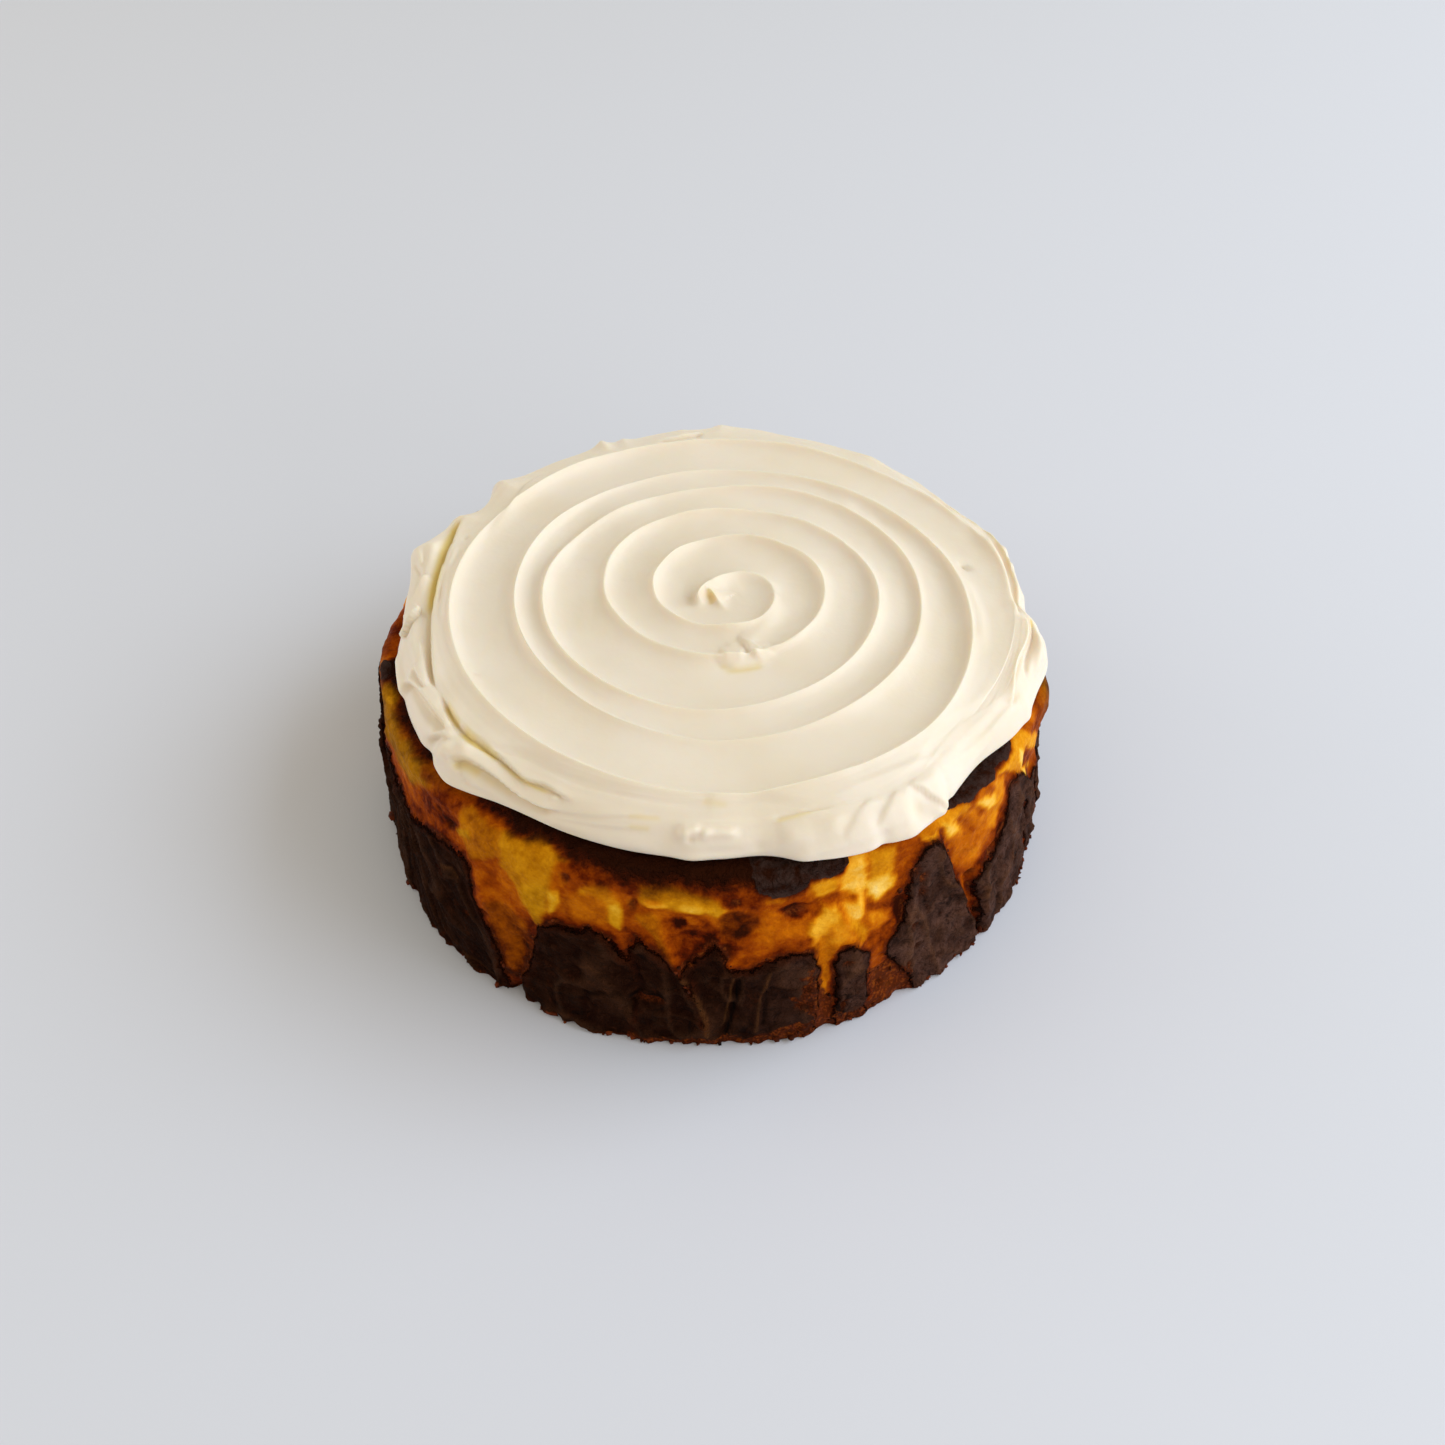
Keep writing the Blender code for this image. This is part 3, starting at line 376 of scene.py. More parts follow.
# how the wrinkles lean, in degrees for each millimetre of height, as (angle, slant)
SKIN_SLANT = [(-180, 0.1), (-76, 0.42), (-40, 0.34), (-28, 0.1), (0, 0.03), (35, 0.14), (78, 0.1),
              (180, 0.1)]

UNEVEN_WAVES = 14
UNEVEN_RISE = 0.14
GRAIN_ROWS = 64
GRAIN_FOOT = -200.0
LAYERED_GAIN = 1.4
FULLY_BROWNED = 0.96

# browner cheese beside the skins: by how much, and how far it reaches
SKIN_HALOS = [(0.14, 1.6), (0.13, 4)]


def bump(value, centre, half_width):
    """A soft hill of height 1 about a centre."""
    return np.exp(-((value - centre) / half_width) ** 2)


def angle_from(angle, centre):
    """The signed angle from a centre, between -180 and 180."""
    return (np.asarray(angle, float) - centre + 180.0) % 360.0 - 180.0


def bump_round(angle, centre, half_width):
    """A soft hill of height 1 about an angle, closed round the cake."""
    return bump(angle_from(angle, centre), 0.0, half_width)


def ease(value, low, high):
    """From 0 at low to 1 at high, smoothly."""
    part = np.clip((value - low) / (high - low), 0.0, 1.0)
    return part * part * (3.0 - 2.0 * part)


def towards(value, goal, share):
    """A value moved by a share of its way to a goal."""
    return value + (goal - value) * share


def read_along(points, angle):
    """The size at any angle, on straight stretches between (angle, size) points."""
    at, size = zip(*points)
    return np.interp(angle, at, size)


def uneven(angle, height, seed, fastest=11):
    """A smooth, closed unevenness of about +-1 round the cake, from seeded waves."""
    draw = np.random.RandomState(seed)
    total = np.zeros(np.broadcast(angle, height).shape)
    for _ in range(UNEVEN_WAVES):
        turns = draw.randint(1, fastest + 1)
        slant = draw.uniform(-UNEVEN_RISE, UNEVEN_RISE)
        phase = draw.uniform(0.0, 2.0 * math.pi)
        total += np.sin(np.radians(angle) * turns + height * slant + phase) / math.sqrt(UNEVEN_WAVES)
    return total


def grain(angle, height, wide, tall, seed):
    """Smooth random values from -1 to 1 in cells so wide round the cake and so tall, closed round it."""
    columns = max(4, round(2.0 * math.pi * MEAN_RADIUS / wide))
    cells = np.random.RandomState(seed).uniform(-1.0, 1.0, (GRAIN_ROWS, columns))
    x = (np.asarray(angle, float) / 360.0 % 1.0) * columns
    y = (np.asarray(height, float) - GRAIN_FOOT) / tall
    column, row = np.floor(x).astype(int), np.floor(y).astype(int)
    across, up = ease(x - column, 0.0, 1.0), ease(y - row, 0.0, 1.0)
    lower, upper = (towards(cells[level % GRAIN_ROWS, column % columns],
                            cells[level % GRAIN_ROWS, (column + 1) % columns], across)
                    for level in (row, row + 1))
    return towards(lower, upper, up)


def crumb(angle, height, strength, size, seed, layers):
    """Random values of about +- a strength, from a coarse grain down to finer ones."""
    parts = [0.5 ** layer for layer in range(layers)]
    total = sum(part * grain(angle, height, size * part, size * part, seed + layer)
                for layer, part in enumerate(parts))
    return strength * LAYERED_GAIN * total / sum(parts)


def to_stretch(x, y, start, end):
    """Distance from places to a straight stretch, and the share of it at the nearest place."""
    dx, dy = end[0] - start[0], end[1] - start[1]
    part = np.clip(((x - start[0]) * dx + (y - start[1]) * dy) / (dx * dx + dy * dy), 0.0, 1.0)
    return np.hypot(x - start[0] - part * dx, y - start[1] - part * dy), part


def on_wall(points):
    """Drawn (angle, height) points in millimetres along the wall and up it."""
    return [(math.radians(angle) * MEAN_RADIUS, height) for angle, height in points]


def distance_to(path, angle, height):
    """Distance along the wall from places to a drawn line."""
    across = np.radians(angle) * MEAN_RADIUS
    nearest = np.full(across.shape, np.inf)
    corners = on_wall(path)
    for start, end in zip(corners, corners[1:]):
        nearest = np.minimum(nearest, to_stretch(across, height, start, end)[0])
    return nearest


def depth_inside(outline, angle, height):
    """Distance along the wall from places to an outline, positive inside it."""
    across = np.radians(angle) * MEAN_RADIUS
    inside = np.zeros(across.shape, bool)
    corners = on_wall(outline + outline[:1])
    for (x0, y0), (x1, y1) in zip(corners, corners[1:]):
        crossed = (y0 > height) != (y1 > height)
        inside ^= crossed & (across < x0 + (height - y0) * (x1 - x0) / ((y1 - y0) or 1.0))
    nearest = distance_to(outline + outline[:1], angle, height)
    return np.where(inside, nearest, -nearest)


def line_hills(lines, angle, height):
    """Soft hills and grooves along drawn lines: the half width, rise and path of each."""
    return sum(rise * bump(distance_to(path, angle, height), 0.0, half_width)
               for half_width, rise, path in lines)


def patch_share(outline, softness, angle, length, wander):
    """How much of a place belongs to an outline whose edge is so soft and wanders."""
    angles, lengths = zip(*outline)
    near = ((angle > min(angles) - 4.0) & (angle < max(angles) + 4.0)
            & (length > min(lengths) - 5.0) & (length < max(lengths) + 5.0))
    share = np.zeros(angle.shape)
    share[near] = ease(depth_inside(outline, angle[near], length[near]) + wander[near], -softness, softness)
    return share


def flap_height(angle, height):
    """How far the proud sheets raise the wall, with a shallow pocket beyond their crisp edges."""
    total = np.zeros(angle.shape)
    for edge, side, rise, reach in FLAPS:
        at, heights = zip(*edge[::-1])
        into = side * np.radians(angle - np.interp(height, heights, at)) * MEAN_RADIUS
        foot, head = heights[0], heights[-1]
        ends = ease(height, foot - 2.0, foot + 3.0) * ease(-height, -head - 2.0, -head + 3.0)
        sheet = ease(into, -0.5, 0.5) * np.exp(-np.maximum(into, 0.0) / reach)
        pocket = ease(-into, -0.5, 0.7) * np.exp(-np.maximum(-into, 0.0) / 2.0)
        total += ends * rise * (sheet - 0.4 * pocket)
    return total


def wall_design(drawn, length):
    """The drawn features of the wall at design angles and lengths up it: relief and colour fields."""
    skin = np.maximum.reduce([depth_inside(outline, drawn, length) for outline in SKINS.values()])
    skin = skin + crumb(drawn, length, *SKIN_RAGS) * ease(length, -3.0, 4.0)
    relief = -SKIN_THICKNESS / (1.0 + np.exp(2.0 * skin / SKIN_EDGE))
    relief = relief + SKIN_LIP * bump(skin, 1.2, 1.0) * ease(length, 3.0, 8.0)
    relief = relief + line_hills(CREASES, drawn, length) + flap_height(drawn, length)
    pits = np.zeros(drawn.shape)
    rags = crumb(drawn, length, *PIT_RAGS)
    for centre, level, across, up, depth in PITS:
        off = np.hypot((drawn - centre) / across, (length - level) / up)
        hole = 1.0 - ease(off + rags, 0.35, 1.15)
        pits = np.maximum(pits, hole)
        relief = relief - depth * hole
    for centre, level, across, up, rise in DENTS:
        relief = relief + rise * bump(drawn, centre, across) * bump(length, level, up)

    burnt = length - read_along(BURNT_EDGE, drawn)
    burnt = burnt + crumb(drawn, length, *BURNT_WAVES) + crumb(drawn, length, *BURNT_RAGS)

    wander = crumb(drawn, length, *PATCH_WAVES) + crumb(drawn, length, *PATCH_RAGS)
    tone = CHEESE_TONE + crumb(drawn, length, *CHEESE_CLOUDS)
    ochre = np.zeros(drawn.shape)
    for shade, yellow, softness, rise, outline in PATCHES:
        share = patch_share(outline, softness + PATCH_SOFTER, drawn, length, wander)
        tone = towards(tone, shade, share)
        ochre = towards(ochre, yellow, share)
        relief = relief + PATCH_RISE * rise * share
    tone = towards(tone, FULLY_BROWNED, ease(burnt / read_along(BURNT_FADE, drawn), -1.6, 0.5))
    beside_skin = np.maximum(-skin, 0.0)
    for browner, reach in SKIN_HALOS:
        tone = tone + browner * np.exp(-beside_skin / reach)
    char = np.maximum.reduce([patch_share(outline, 0.4, drawn, length, wander) for outline in CHARS])
    torn = np.maximum.reduce([patch_share(area, 1.4, drawn, length, 2.0 * wander) for area in TORN_AREAS])
    line = line_hills(SKIN_LINES, drawn, length)
    return {"relief": relief + CHAR_THICKNESS * char, "skin": skin, "burnt": burnt, "tone": tone,
            "pit": pits, "line": line, "ochre": ochre, "char": char, "torn": torn}


def whole_design(angle, length):
    """The design all round the cake, each repeat melting into the next."""
    first = REPEATS[0][0]
    around = (np.asarray(angle, float) - first) % 360.0 + first
    whole, weight = {}, 0.0
    for start, end, turn in REPEATS:
        for shift in (-360.0, 0.0, 360.0):
            place = around + shift
            part = (ease(place, start - REPEAT_BLEND, start + REPEAT_BLEND)
                    * (1.0 - ease(place, end - REPEAT_BLEND, end + REPEAT_BLEND)))
            near = part > 0.0
            if not near.any():
                continue
            for key, value in wall_design(np.where(near, place - turn, 0.0), length).items():
                whole[key] = whole.get(key, 0.0) + part * value
            weight = weight + part
    return {key: value / weight for key, value in whole.items()}


def rim_height(angle):
    """Height of the top of the wall."""
    raised = sum(rise * bump_round(angle, centre, half_width) for centre, half_width, rise in RIM_LIPS)
    return WALL_HEIGHT + raised + RIM_UNEVEN * uneven(angle, 0.0, RIM_SEED)


def fine_relief(angle, length, fields):
    """Wrinkles of the leathery skin, lumps of the cheese, crumbs along torn edges and at the base."""
    leaning = angle + read_along(SKIN_SLANT, angle_from(angle, 0.0)) * length
    on_skin = ease(fields["skin"], -0.3, 1.6)
    folds = grain(leaning, length, *FOLDS)
    veins = ease(1.0 - 3.4 * np.abs(grain(leaning, length, *VEINS)), 0.0, 1.0)
    cross = ease(1.0 - 4.0 * np.abs(grain(leaning + 0.5 * length, length, *CROSS_VEINS)), 0.0, 1.0)
    leather = crumb(leaning, length * 0.7, *LEATHER_GRAIN)
    creased = crumb(leaning, length * 0.8, *CREASED_GRAIN)
    wrinkled = 0.50 * folds + 0.75 * veins + 0.50 * cross + 0.38 * leather + creased - 0.35
    # painted sheen: the skin is painted lighter along its wrinkles' crests
    fields["fold_sheen"] = on_skin * np.clip(0.8 * veins ** 2 + 0.25 * cross ** 2 + 0.3 * leather, 0.0, 1.0)
    lumps = crumb(angle, length, *BIG_LUMPS) + crumb(angle, length, *SMALL_LUMPS)
    torn = bump(fields["skin"], -0.6, 1.4) + fields["torn"]
    broken = np.clip(np.maximum(torn, 1.0 - ease(length, 1.0, 3.0)), 0.0, 1.0)
    rough = (0.22 + 0.12 * ease(length, 1.0, 4.0)) * crumb(angle, length, *TORN_GRAIN)
    cracked = crumb(angle, length, *BURNT_CRACKS) * ease(fields["burnt"], 0.0, 5.0)
    return towards(lumps, wrinkled, on_skin) + rough * broken + cracked


def profile_rows(straight):
    """Height, how far in, and length up the wall of each row, where the wall is straight to a height."""
    for i in range(BASE_ROWS):
        level = straight * 0.0 + BASE_ROUND * i / BASE_ROWS
        yield level, 0.0, level
    for i in range(WALL_ROWS):
        level = towards(BASE_ROUND, straight, i / (WALL_ROWS - 1))
        yield level, 0.0, level
    for i in range(1, SHOULDER_ROWS + 1):
        bend = math.radians(90.0 * i / SHOULDER_ROWS)
        yield (straight + SHOULDER_ROUND * math.sin(bend), SHOULDER_ROUND * (1.0 - math.cos(bend)),
               straight + SHOULDER_ROUND * bend)


def cake_surface():
    """Angle, radius, height, length up the wall and fields for every row and column of the mesh."""
    angle = (np.arange(CAKE_COLUMNS) * 360.0 / CAKE_COLUMNS)[None, :]
    straight = rim_height(angle) - SHOULDER_ROUND
    levels, inwards, lengths = zip(*profile_rows(straight))
    level, length = np.concatenate(levels), np.concatenate(lengths)
    angles = np.broadcast_to(angle, level.shape)
    fields = whole_design(angles, length)
    design_level = np.minimum(level, straight)
    radius = towards(BASE_RADIUS, RIM_RADIUS, design_level / WALL_HEIGHT) - np.array(inwards)[:, None]
    radius = radius + fields["relief"] + WALL_UNEVEN * uneven(angles, design_level, WALL_SEED)
    for centre, place, across, up, rise in SINGLE_DENTS:
        radius = radius + rise * bump_round(angles, centre, across) * bump(design_level, place, up)
    for centre, place, across, up, tone in SINGLE_BROWNING:
        share = bump_round(angles, centre, across) * bump(length, place, up)
        fields["tone"] = towards(fields["tone"], tone, share)
    radius = radius + fine_relief(angles, length, fields)
    above_base = 1.0 - np.minimum(level / BASE_ROUND, 1.0)
    radius = radius - BASE_ROUND * (1.0 - np.sqrt(1.0 - above_base ** 2))
    for centre, half_width, depth in NOTCHES:
        notch = bump_round(angles, centre, half_width) * (1.0 - ease(level, 0.5, 1.2 * depth + 1.0))
        radius = radius - NOTCH_DEPTH * depth * notch

    # over the top the burnt crust runs in under the cream
    shares = (np.arange(1, TOP_ROWS + 1) / TOP_ROWS)[:, None]
    edge_radius = radius[-1:]
    top_radius = towards(edge_radius, HIDDEN_RADIUS, shares)
    top_length = length[-1:] + (edge_radius - top_radius)
    top_angles = np.broadcast_to(angle, top_radius.shape)
    top_fields = whole_design(top_angles, top_length)
    top_fields["fold_sheen"] = np.zeros(top_radius.shape)
    sink = ease(edge_radius - top_radius, 0.0, edge_radius - TOP_FLAT_RADIUS)
    wavy = crumb(top_angles, top_length, *TOP_RIPPLES) * np.clip(shares * 6.0, 0.0, 1.0)
    top_level = towards(level[-1:], TOP_LEVEL, sink) + wavy * (top_radius > TOP_FLAT_RADIUS - 4.0)
    fields = {key: np.concatenate([value, top_fields[key]]) for key, value in fields.items()}
    return (np.concatenate([angles, top_angles]), np.concatenate([radius, top_radius]),
            np.concatenate([level, top_level]), np.concatenate([length, top_length]), fields)


def level_place(angle, radius):
    """Where an angle and a radius lie across the cake and away from its front."""
    turned = np.radians(angle)
    return radius * np.sin(turned), -radius * np.cos(turned)


def round_mesh(name, angle, radius, level, low_hub, high_hub):
    """A closed mesh from rows of rings, shut by a fan to a hub below and another above."""
    x, y = level_place(angle, radius)
    points = np.stack([x + AXIS_OFFSET[0], y + AXIS_OFFSET[1], level], axis=-1).reshape(-1, 3)
    hubs = np.array([[*AXIS_OFFSET, low_hub], [*AXIS_OFFSET, high_hub]])
    rows, columns = radius.shape
    place = np.arange(rows * columns).reshape(rows, columns)
    after = np.roll(place, -1, axis=1)
    quads = np.stack([place[:-1], after[:-1], after[1:], place[1:]], axis=-1).reshape(-1, 4)
    low = np.stack([after[0], place[0], np.full(columns, rows * columns)], axis=-1)
    high = np.stack([place[-1], after[-1], np.full(columns, rows * columns + 1)], axis=-1)
    mesh = bpy.data.meshes.new(name)
    mesh.from_pydata((np.concatenate([points, hubs]) * MM).tolist(), [],
                     quads.tolist() + low.tolist() + high.tolist())
    mesh.shade_smooth()
    return mesh


def store(mesh, name, values):
    """Keep one value for each point of the mesh, for its material."""
    attribute = mesh.attributes.new(name, "FLOAT", "POINT")
    whole = np.zeros(len(mesh.vertices), np.float32)
    whole[:values.size] = values.ravel()
    attribute.data.foreach_set("value", whole)


def place_piece(mesh, material):
    """The piece made of a mesh and a material, put in the scene."""
    mesh.materials.append(material)
    piece = bpy.data.objects.new(mesh.name, mesh)
    bpy.context.scene.collection.objects.link(piece)
    return piece


class Finish:
    """A material, put together node by node."""

    def __init__(self, name):
        self.material = bpy.data.materials.new(name)
        self.material.use_nodes = True
        self.nodes = self.material.node_tree.nodes
        self.links = self.material.node_tree.links

    def put(self, socket, value):
        """Link or set one socket."""
        if isinstance(value, bpy.types.NodeSocket):
            self.links.new(value, socket)
        else:
            socket.default_value = (*value, 1.0) if socket.type == "RGBA" else value

    def done(self, sockets):
        """Link or set the sockets of the shader itself, and give the material."""
        for name, value in sockets.items():
            self.put(self.nodes["Principled BSDF"].inputs[name], value)
        return self.material

    def add(self, kind, inputs=(), output=0, **settings):
        """Add a node with its settings and inputs, and give one of its outputs."""
        node = self.nodes.new("ShaderNode" + kind)
        for key, value in settings.items():
            setattr(node, key, value)
        for key, value in dict(inputs).items():
            self.put(node.inputs[key], value)
        return node.outputs[output]

    def field(self, name):
        """A value kept on the mesh."""
        return self.add("Attribute", output=2, attribute_name=name)

    def plus(self, first, *others):
        """Values added up."""
        for other in others:
            first = self.add("Math", {0: first, 1: other}, operation="ADD")
        return first

    def times(self, first, second):
        """One value times another."""
        return self.add("Math", {0: first, 1: second}, operation="MULTIPLY")

    def noise(self, size, detail=3.0, rough=0.55, distortion=0.0):
        """Cloudy noise with features of a size in millimetres."""
        return self.add("TexNoise", {"Vector": self.add("TexCoord", output=3), "Scale": 1000.0 / size,
                                     "Detail": detail, "Roughness": rough, "Distortion": distortion})

    def span(self, value, low, high, first=0.0, last=1.0):
        """From first at low to last at high, held outside."""
        return self.add("MapRange", {"Value": value, "From Min": low, "From Max": high, "To Min": first,
                                     "To Max": last}, interpolation_type="SMOOTHSTEP")

    def blend(self, share, first, last):
        """Two colours mixed by a share."""
        return self.add("Mix", {0: share, 6: first, 7: last}, output=2, data_type="RGBA")

    def stain(self, ground, colour, value, low, high, share=1.0):
        """A colour laid over a ground, from none of it at a low value to a share at a high one."""
        return self.blend(self.span(value, low, high, 0.0, share), ground, colour)

    def ramp(self, value, stops):
        """Colours along a value."""
        node = self.nodes.new("ShaderNodeValToRGB")
        self.links.new(value, node.inputs[0])
        spots = node.color_ramp.elements
        for place, _ in stops[2:]:
            spots.new(place)
        for spot, (place, colour) in zip(spots, stops):
            spot.position = place
            spot.color = (*colour, 1.0)
        return node.outputs[0]

    def relief(self, height, distance, strength=1.0, below=None):
        """A bump of a depth in millimetres, over another one if there is one below."""
        inputs = {"Height": height, "Distance": distance * MM, "Strength": strength}
        if below is not None:
            inputs["Normal"] = below
        return self.add("Bump", inputs)


# colours of the cheese: tone, plain colour, yellower colour
CHEESE_COLOURS = [
    (0.00, (0.98, 0.72, 0.30), (0.98, 0.74, 0.34)),
    (0.14, (0.96, 0.58, 0.12), (0.94, 0.61, 0.14)),
    (0.30, (0.90, 0.42, 0.028), (0.86, 0.45, 0.030)),
    (0.46, (0.76, 0.26, 0.006), (0.68, 0.30, 0.006)),
    (0.62, (0.56, 0.135, 0.0015), (0.44, 0.170, 0.0018)),
    (0.78, (0.32, 0.052, 0.0008), (0.22, 0.080, 0.001)),
    (0.92, (0.115, 0.012, 0.0008), (0.09, 0.026, 0.001)),
    (1.00, (0.030, 0.004, 0.001), (0.030, 0.008, 0.001)),
]
SKIN_DARK = (0.0155, 0.0038, 0.0014)
# painted sheen: a grey-brown laid in clouds and glints on the skins, most at the right where the window
# grazes them
SKIN_TAUPE_SHEEN = (0.060, 0.0215, 0.0105)
# painted sheen: a grey on the skins at the right
SKIN_GREY_SHEEN = (0.150, 0.071, 0.056)
# painted sheen on the crests of the skins' wrinkles
SKIN_CREST_SHEEN = (0.135, 0.054, 0.026)
SKIN_RED = (0.045, 0.0085, 0.0025)
# painted highlight along the folds that stand out
SKIN_FOLD_HIGHLIGHT = (0.125, 0.045, 0.014)
# near black: the crumbs' own colour, and painted shade in the skins' creases and grooves
SKIN_BLACK = (0.003, 0.002, 0.002)
BURNT_MAROON = (0.026, 0.0058, 0.0018)
BURNT_GREY = (0.046, 0.0235, 0.0190)
TORN_BROWN = (0.060, 0.0115, 0.0032)
TORN_RED = (0.120, 0.020, 0.005)
TORN_ORANGE = (0.220, 0.050, 0.006)

baked = Finish("baked crust")
skin_depth, burnt_depth, right_side = baked.field("skin"), baked.field("burnt"), baked.field("right")
fine, small = baked.noise(0.8, 4.0, 0.6), baked.noise(2.2, 4.0, 0.6)
cloud, wide = baked.noise(6.0, 4.0, 0.6), baked.noise(18.0, 3.0)
crease = baked.noise(4.0, 5.0, 0.62, distortion=1.2)
jitter = baked.plus(baked.span(small, 0.2, 0.8, -0.5, 0.5), baked.span(fine, 0.2, 0.8, -0.35, 0.35))
skin_edge, burnt_edge = baked.plus(skin_depth, jitter), baked.plus(burnt_depth, jitter)


def cheese_colour():
    """Pale, golden, orange and brown cheese, by its tone and by how yellow it is."""
    shade = baked.plus(baked.field("tone"), baked.span(cloud, 0.25, 0.75, -0.09, 0.09),
                       baked.span(small, 0.2, 0.8, -0.04, 0.04), baked.span(fine, 0.2, 0.8, -0.02, 0.02),
                       baked.span(crease, 0.3, 0.7, -0.03, 0.03))
    plain = baked.ramp(shade, [(at, colour) for at, colour, _ in CHEESE_COLOURS])
    yellower = baked.ramp(shade, [(at, colour) for at, _, colour in CHEESE_COLOURS])
    return baked.blend(baked.field("ochre"), plain, yellower)


def leather_colour():
    """Dark skin with a red rim, with painted sheen in grey-brown clouds and glints and in grey towards the
    right, painted highlights on its crease ridges and folds, and painted shade blackening its creases."""
    # painted sheen: grey-brown clouds, growing towards the right, with small glints
    taupe_sheen = baked.times(baked.span(cloud, 0.42, 0.68), baked.span(wide, 0.3, 0.7, 0.35, 1.0))
    taupe_sheen = baked.times(taupe_sheen, baked.span(right_side, 0.0, 1.0, 0.12, 0.7))
    taupe_sheen = baked.plus(taupe_sheen, baked.times(right_side, 0.25), baked.span(small, 0.52, 0.72, 0.0, 0.2))
    colour = baked.blend(taupe_sheen, SKIN_DARK, SKIN_TAUPE_SHEEN)
    # painted sheen: grey towards the right
    grey = baked.times(right_side, baked.span(cloud, 0.35, 0.65, 0.15, 0.55))
    colour = baked.blend(grey, colour, SKIN_GREY_SHEEN)
    # painted highlights on the ridges of the creased grain, painted shade blackening its hollows
    colour = baked.stain(colour, SKIN_TAUPE_SHEEN, crease, 0.54, 0.70, 0.3)
    colour = baked.stain(colour, SKIN_BLACK, crease, 0.48, 0.34, 0.6)
    colour = baked.stain(colour, SKIN_RED, small, 0.56, 0.72, 0.55)
    colour = baked.stain(colour, SKIN_DARK, fine, 0.50, 0.70, 0.6)
    # painted sheen along the wrinkles' crests, stronger at the right
    fold_sheen = baked.times(baked.field("fold_sheen"), baked.span(right_side, 0.0, 1.0, 0.28, 0.55))
    colour = baked.blend(fold_sheen, colour, SKIN_CREST_SHEEN)
    # painted highlights along standing folds and painted shade down in grooves
    line = baked.field("line")
    colour = baked.stain(colour, SKIN_FOLD_HIGHLIGHT, line, 0.1, 1.0, 0.9)
    colour = baked.stain(colour, SKIN_BLACK, line, -0.1, -0.9)
    rim = baked.times(baked.span(skin_edge, 3.2, 0.2, 0.0, 0.7), baked.span(cloud, 0.40, 0.60, 0.2, 1.0))
    return baked.blend(baked.times(rim, baked.span(right_side, 0.0, 1.0, 1.0, 0.35)), colour, SKIN_RED)


def torn_colour():
    """Red and orange crumbs in brown."""
    speck = baked.plus(baked.times(fine, 0.6), baked.times(small, 0.5))
    return baked.ramp(baked.span(speck, 0.4, 0.72), [
        (0.0, TORN_BROWN), (0.35, TORN_BROWN), (0.62, TORN_RED), (1.0, TORN_ORANGE)])


def crust_finish():
    """Golden cheese, dark leathery skin and burnt top, with crumbly torn edges between them."""
    torn = torn_colour()
    patchy = baked.span(cloud, 0.36, 0.58, 0.25, 1.0)
    near_skin = baked.times(baked.span(skin_edge, -1.5, -0.1, 0.0, 0.85), patchy)
    colour = baked.blend(near_skin, cheese_colour(), torn)
    colour = baked.stain(colour, leather_colour(), skin_edge, -0.2, 0.5)
    crumbled = baked.plus(baked.field("torn"), baked.times(jitter, 0.35))
    colour = baked.stain(colour, torn, crumbled, 0.3, 0.7, 0.9)
    at_base = baked.span(baked.plus(baked.field("low"), jitter), 0.2, 1.6, 0.8, 0.0)
    colour = baked.blend(at_base, colour, torn)
    colour = baked.blend(baked.times(baked.field("pit"), 0.8), colour, torn)
    colour = baked.stain(colour, BURNT_MAROON, burnt_edge, -2.4, 4.2)
    grey = baked.stain(BURNT_MAROON, BURNT_GREY, small, 0.3, 0.62)
    flaked = baked.plus(baked.field("char"), baked.times(jitter, 0.3))
    colour = baked.stain(colour, grey, flaked, 0.4, 0.6)

    hard = baked.add("Math", {0: baked.span(skin_edge, -0.3, 0.6), 1: baked.span(burnt_edge, 0.0, 5.0)},
                     operation="MAXIMUM")
    polish = baked.plus(baked.span(hard, 0.0, 1.0, 0.42, 0.50), baked.span(small, 0.2, 0.8, -0.08, 0.10))
    rough = baked.plus(baked.times(small, 0.6), baked.times(fine, 0.4))
    creased = baked.relief(baked.times(crease, hard), 3.0)
    return baked.done({"Base Color": colour, "Roughness": polish, "Specular IOR Level": 0.01,
                       "Normal": baked.relief(rough, 0.9, 0.85, creased)})


angle, radius, level, length, fields = cake_surface()
cake_mesh = round_mesh("baked_cake", angle, radius, level, 0.0, TOP_LEVEL)
from_front = angle_from(angle, 0.0)
fields["skin"] = np.clip(fields["skin"], -12.0, 12.0)
fields["burnt"] = np.clip(fields["burnt"], -12.0, 12.0)
fields["tone"] = np.clip(fields["tone"], -0.2, 1.2)
fields["low"] = length
# the share of the wall at the right, where the skins get painted sheen from the window
fields["right"] = ease(from_front, 0.0, 34.0) * (1.0 - ease(from_front, 130.0, 170.0))
for name in ("skin", "burnt", "tone", "line", "pit", "low", "ochre", "char", "torn", "fold_sheen", "right"):
    store(cake_mesh, name, fields[name])
baked_cake = place_piece(cake_mesh, crust_finish())
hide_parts("cake")
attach(baked_cake, "root")


# =========================================================================================================
# The crumbs. Bits of dark skin and cheese that tore off with the paper and baked hard, still stuck along
# the torn edges of the skins and round the foot of the wall, with a few larger flakes standing out of it.
# =========================================================================================================

CRUMB_SEED = 61
FOOT_CRUMBS = 150
TORN_CRUMBS = 210
CRUMB_SIZES = (0.3, 0.85)
TORN_SHRINK = 0.75
FOOT_HEIGHT = 1.6
CRUMB_STRETCH = (0.6, 1.4)
CRUMB_ROUGH = 0.35

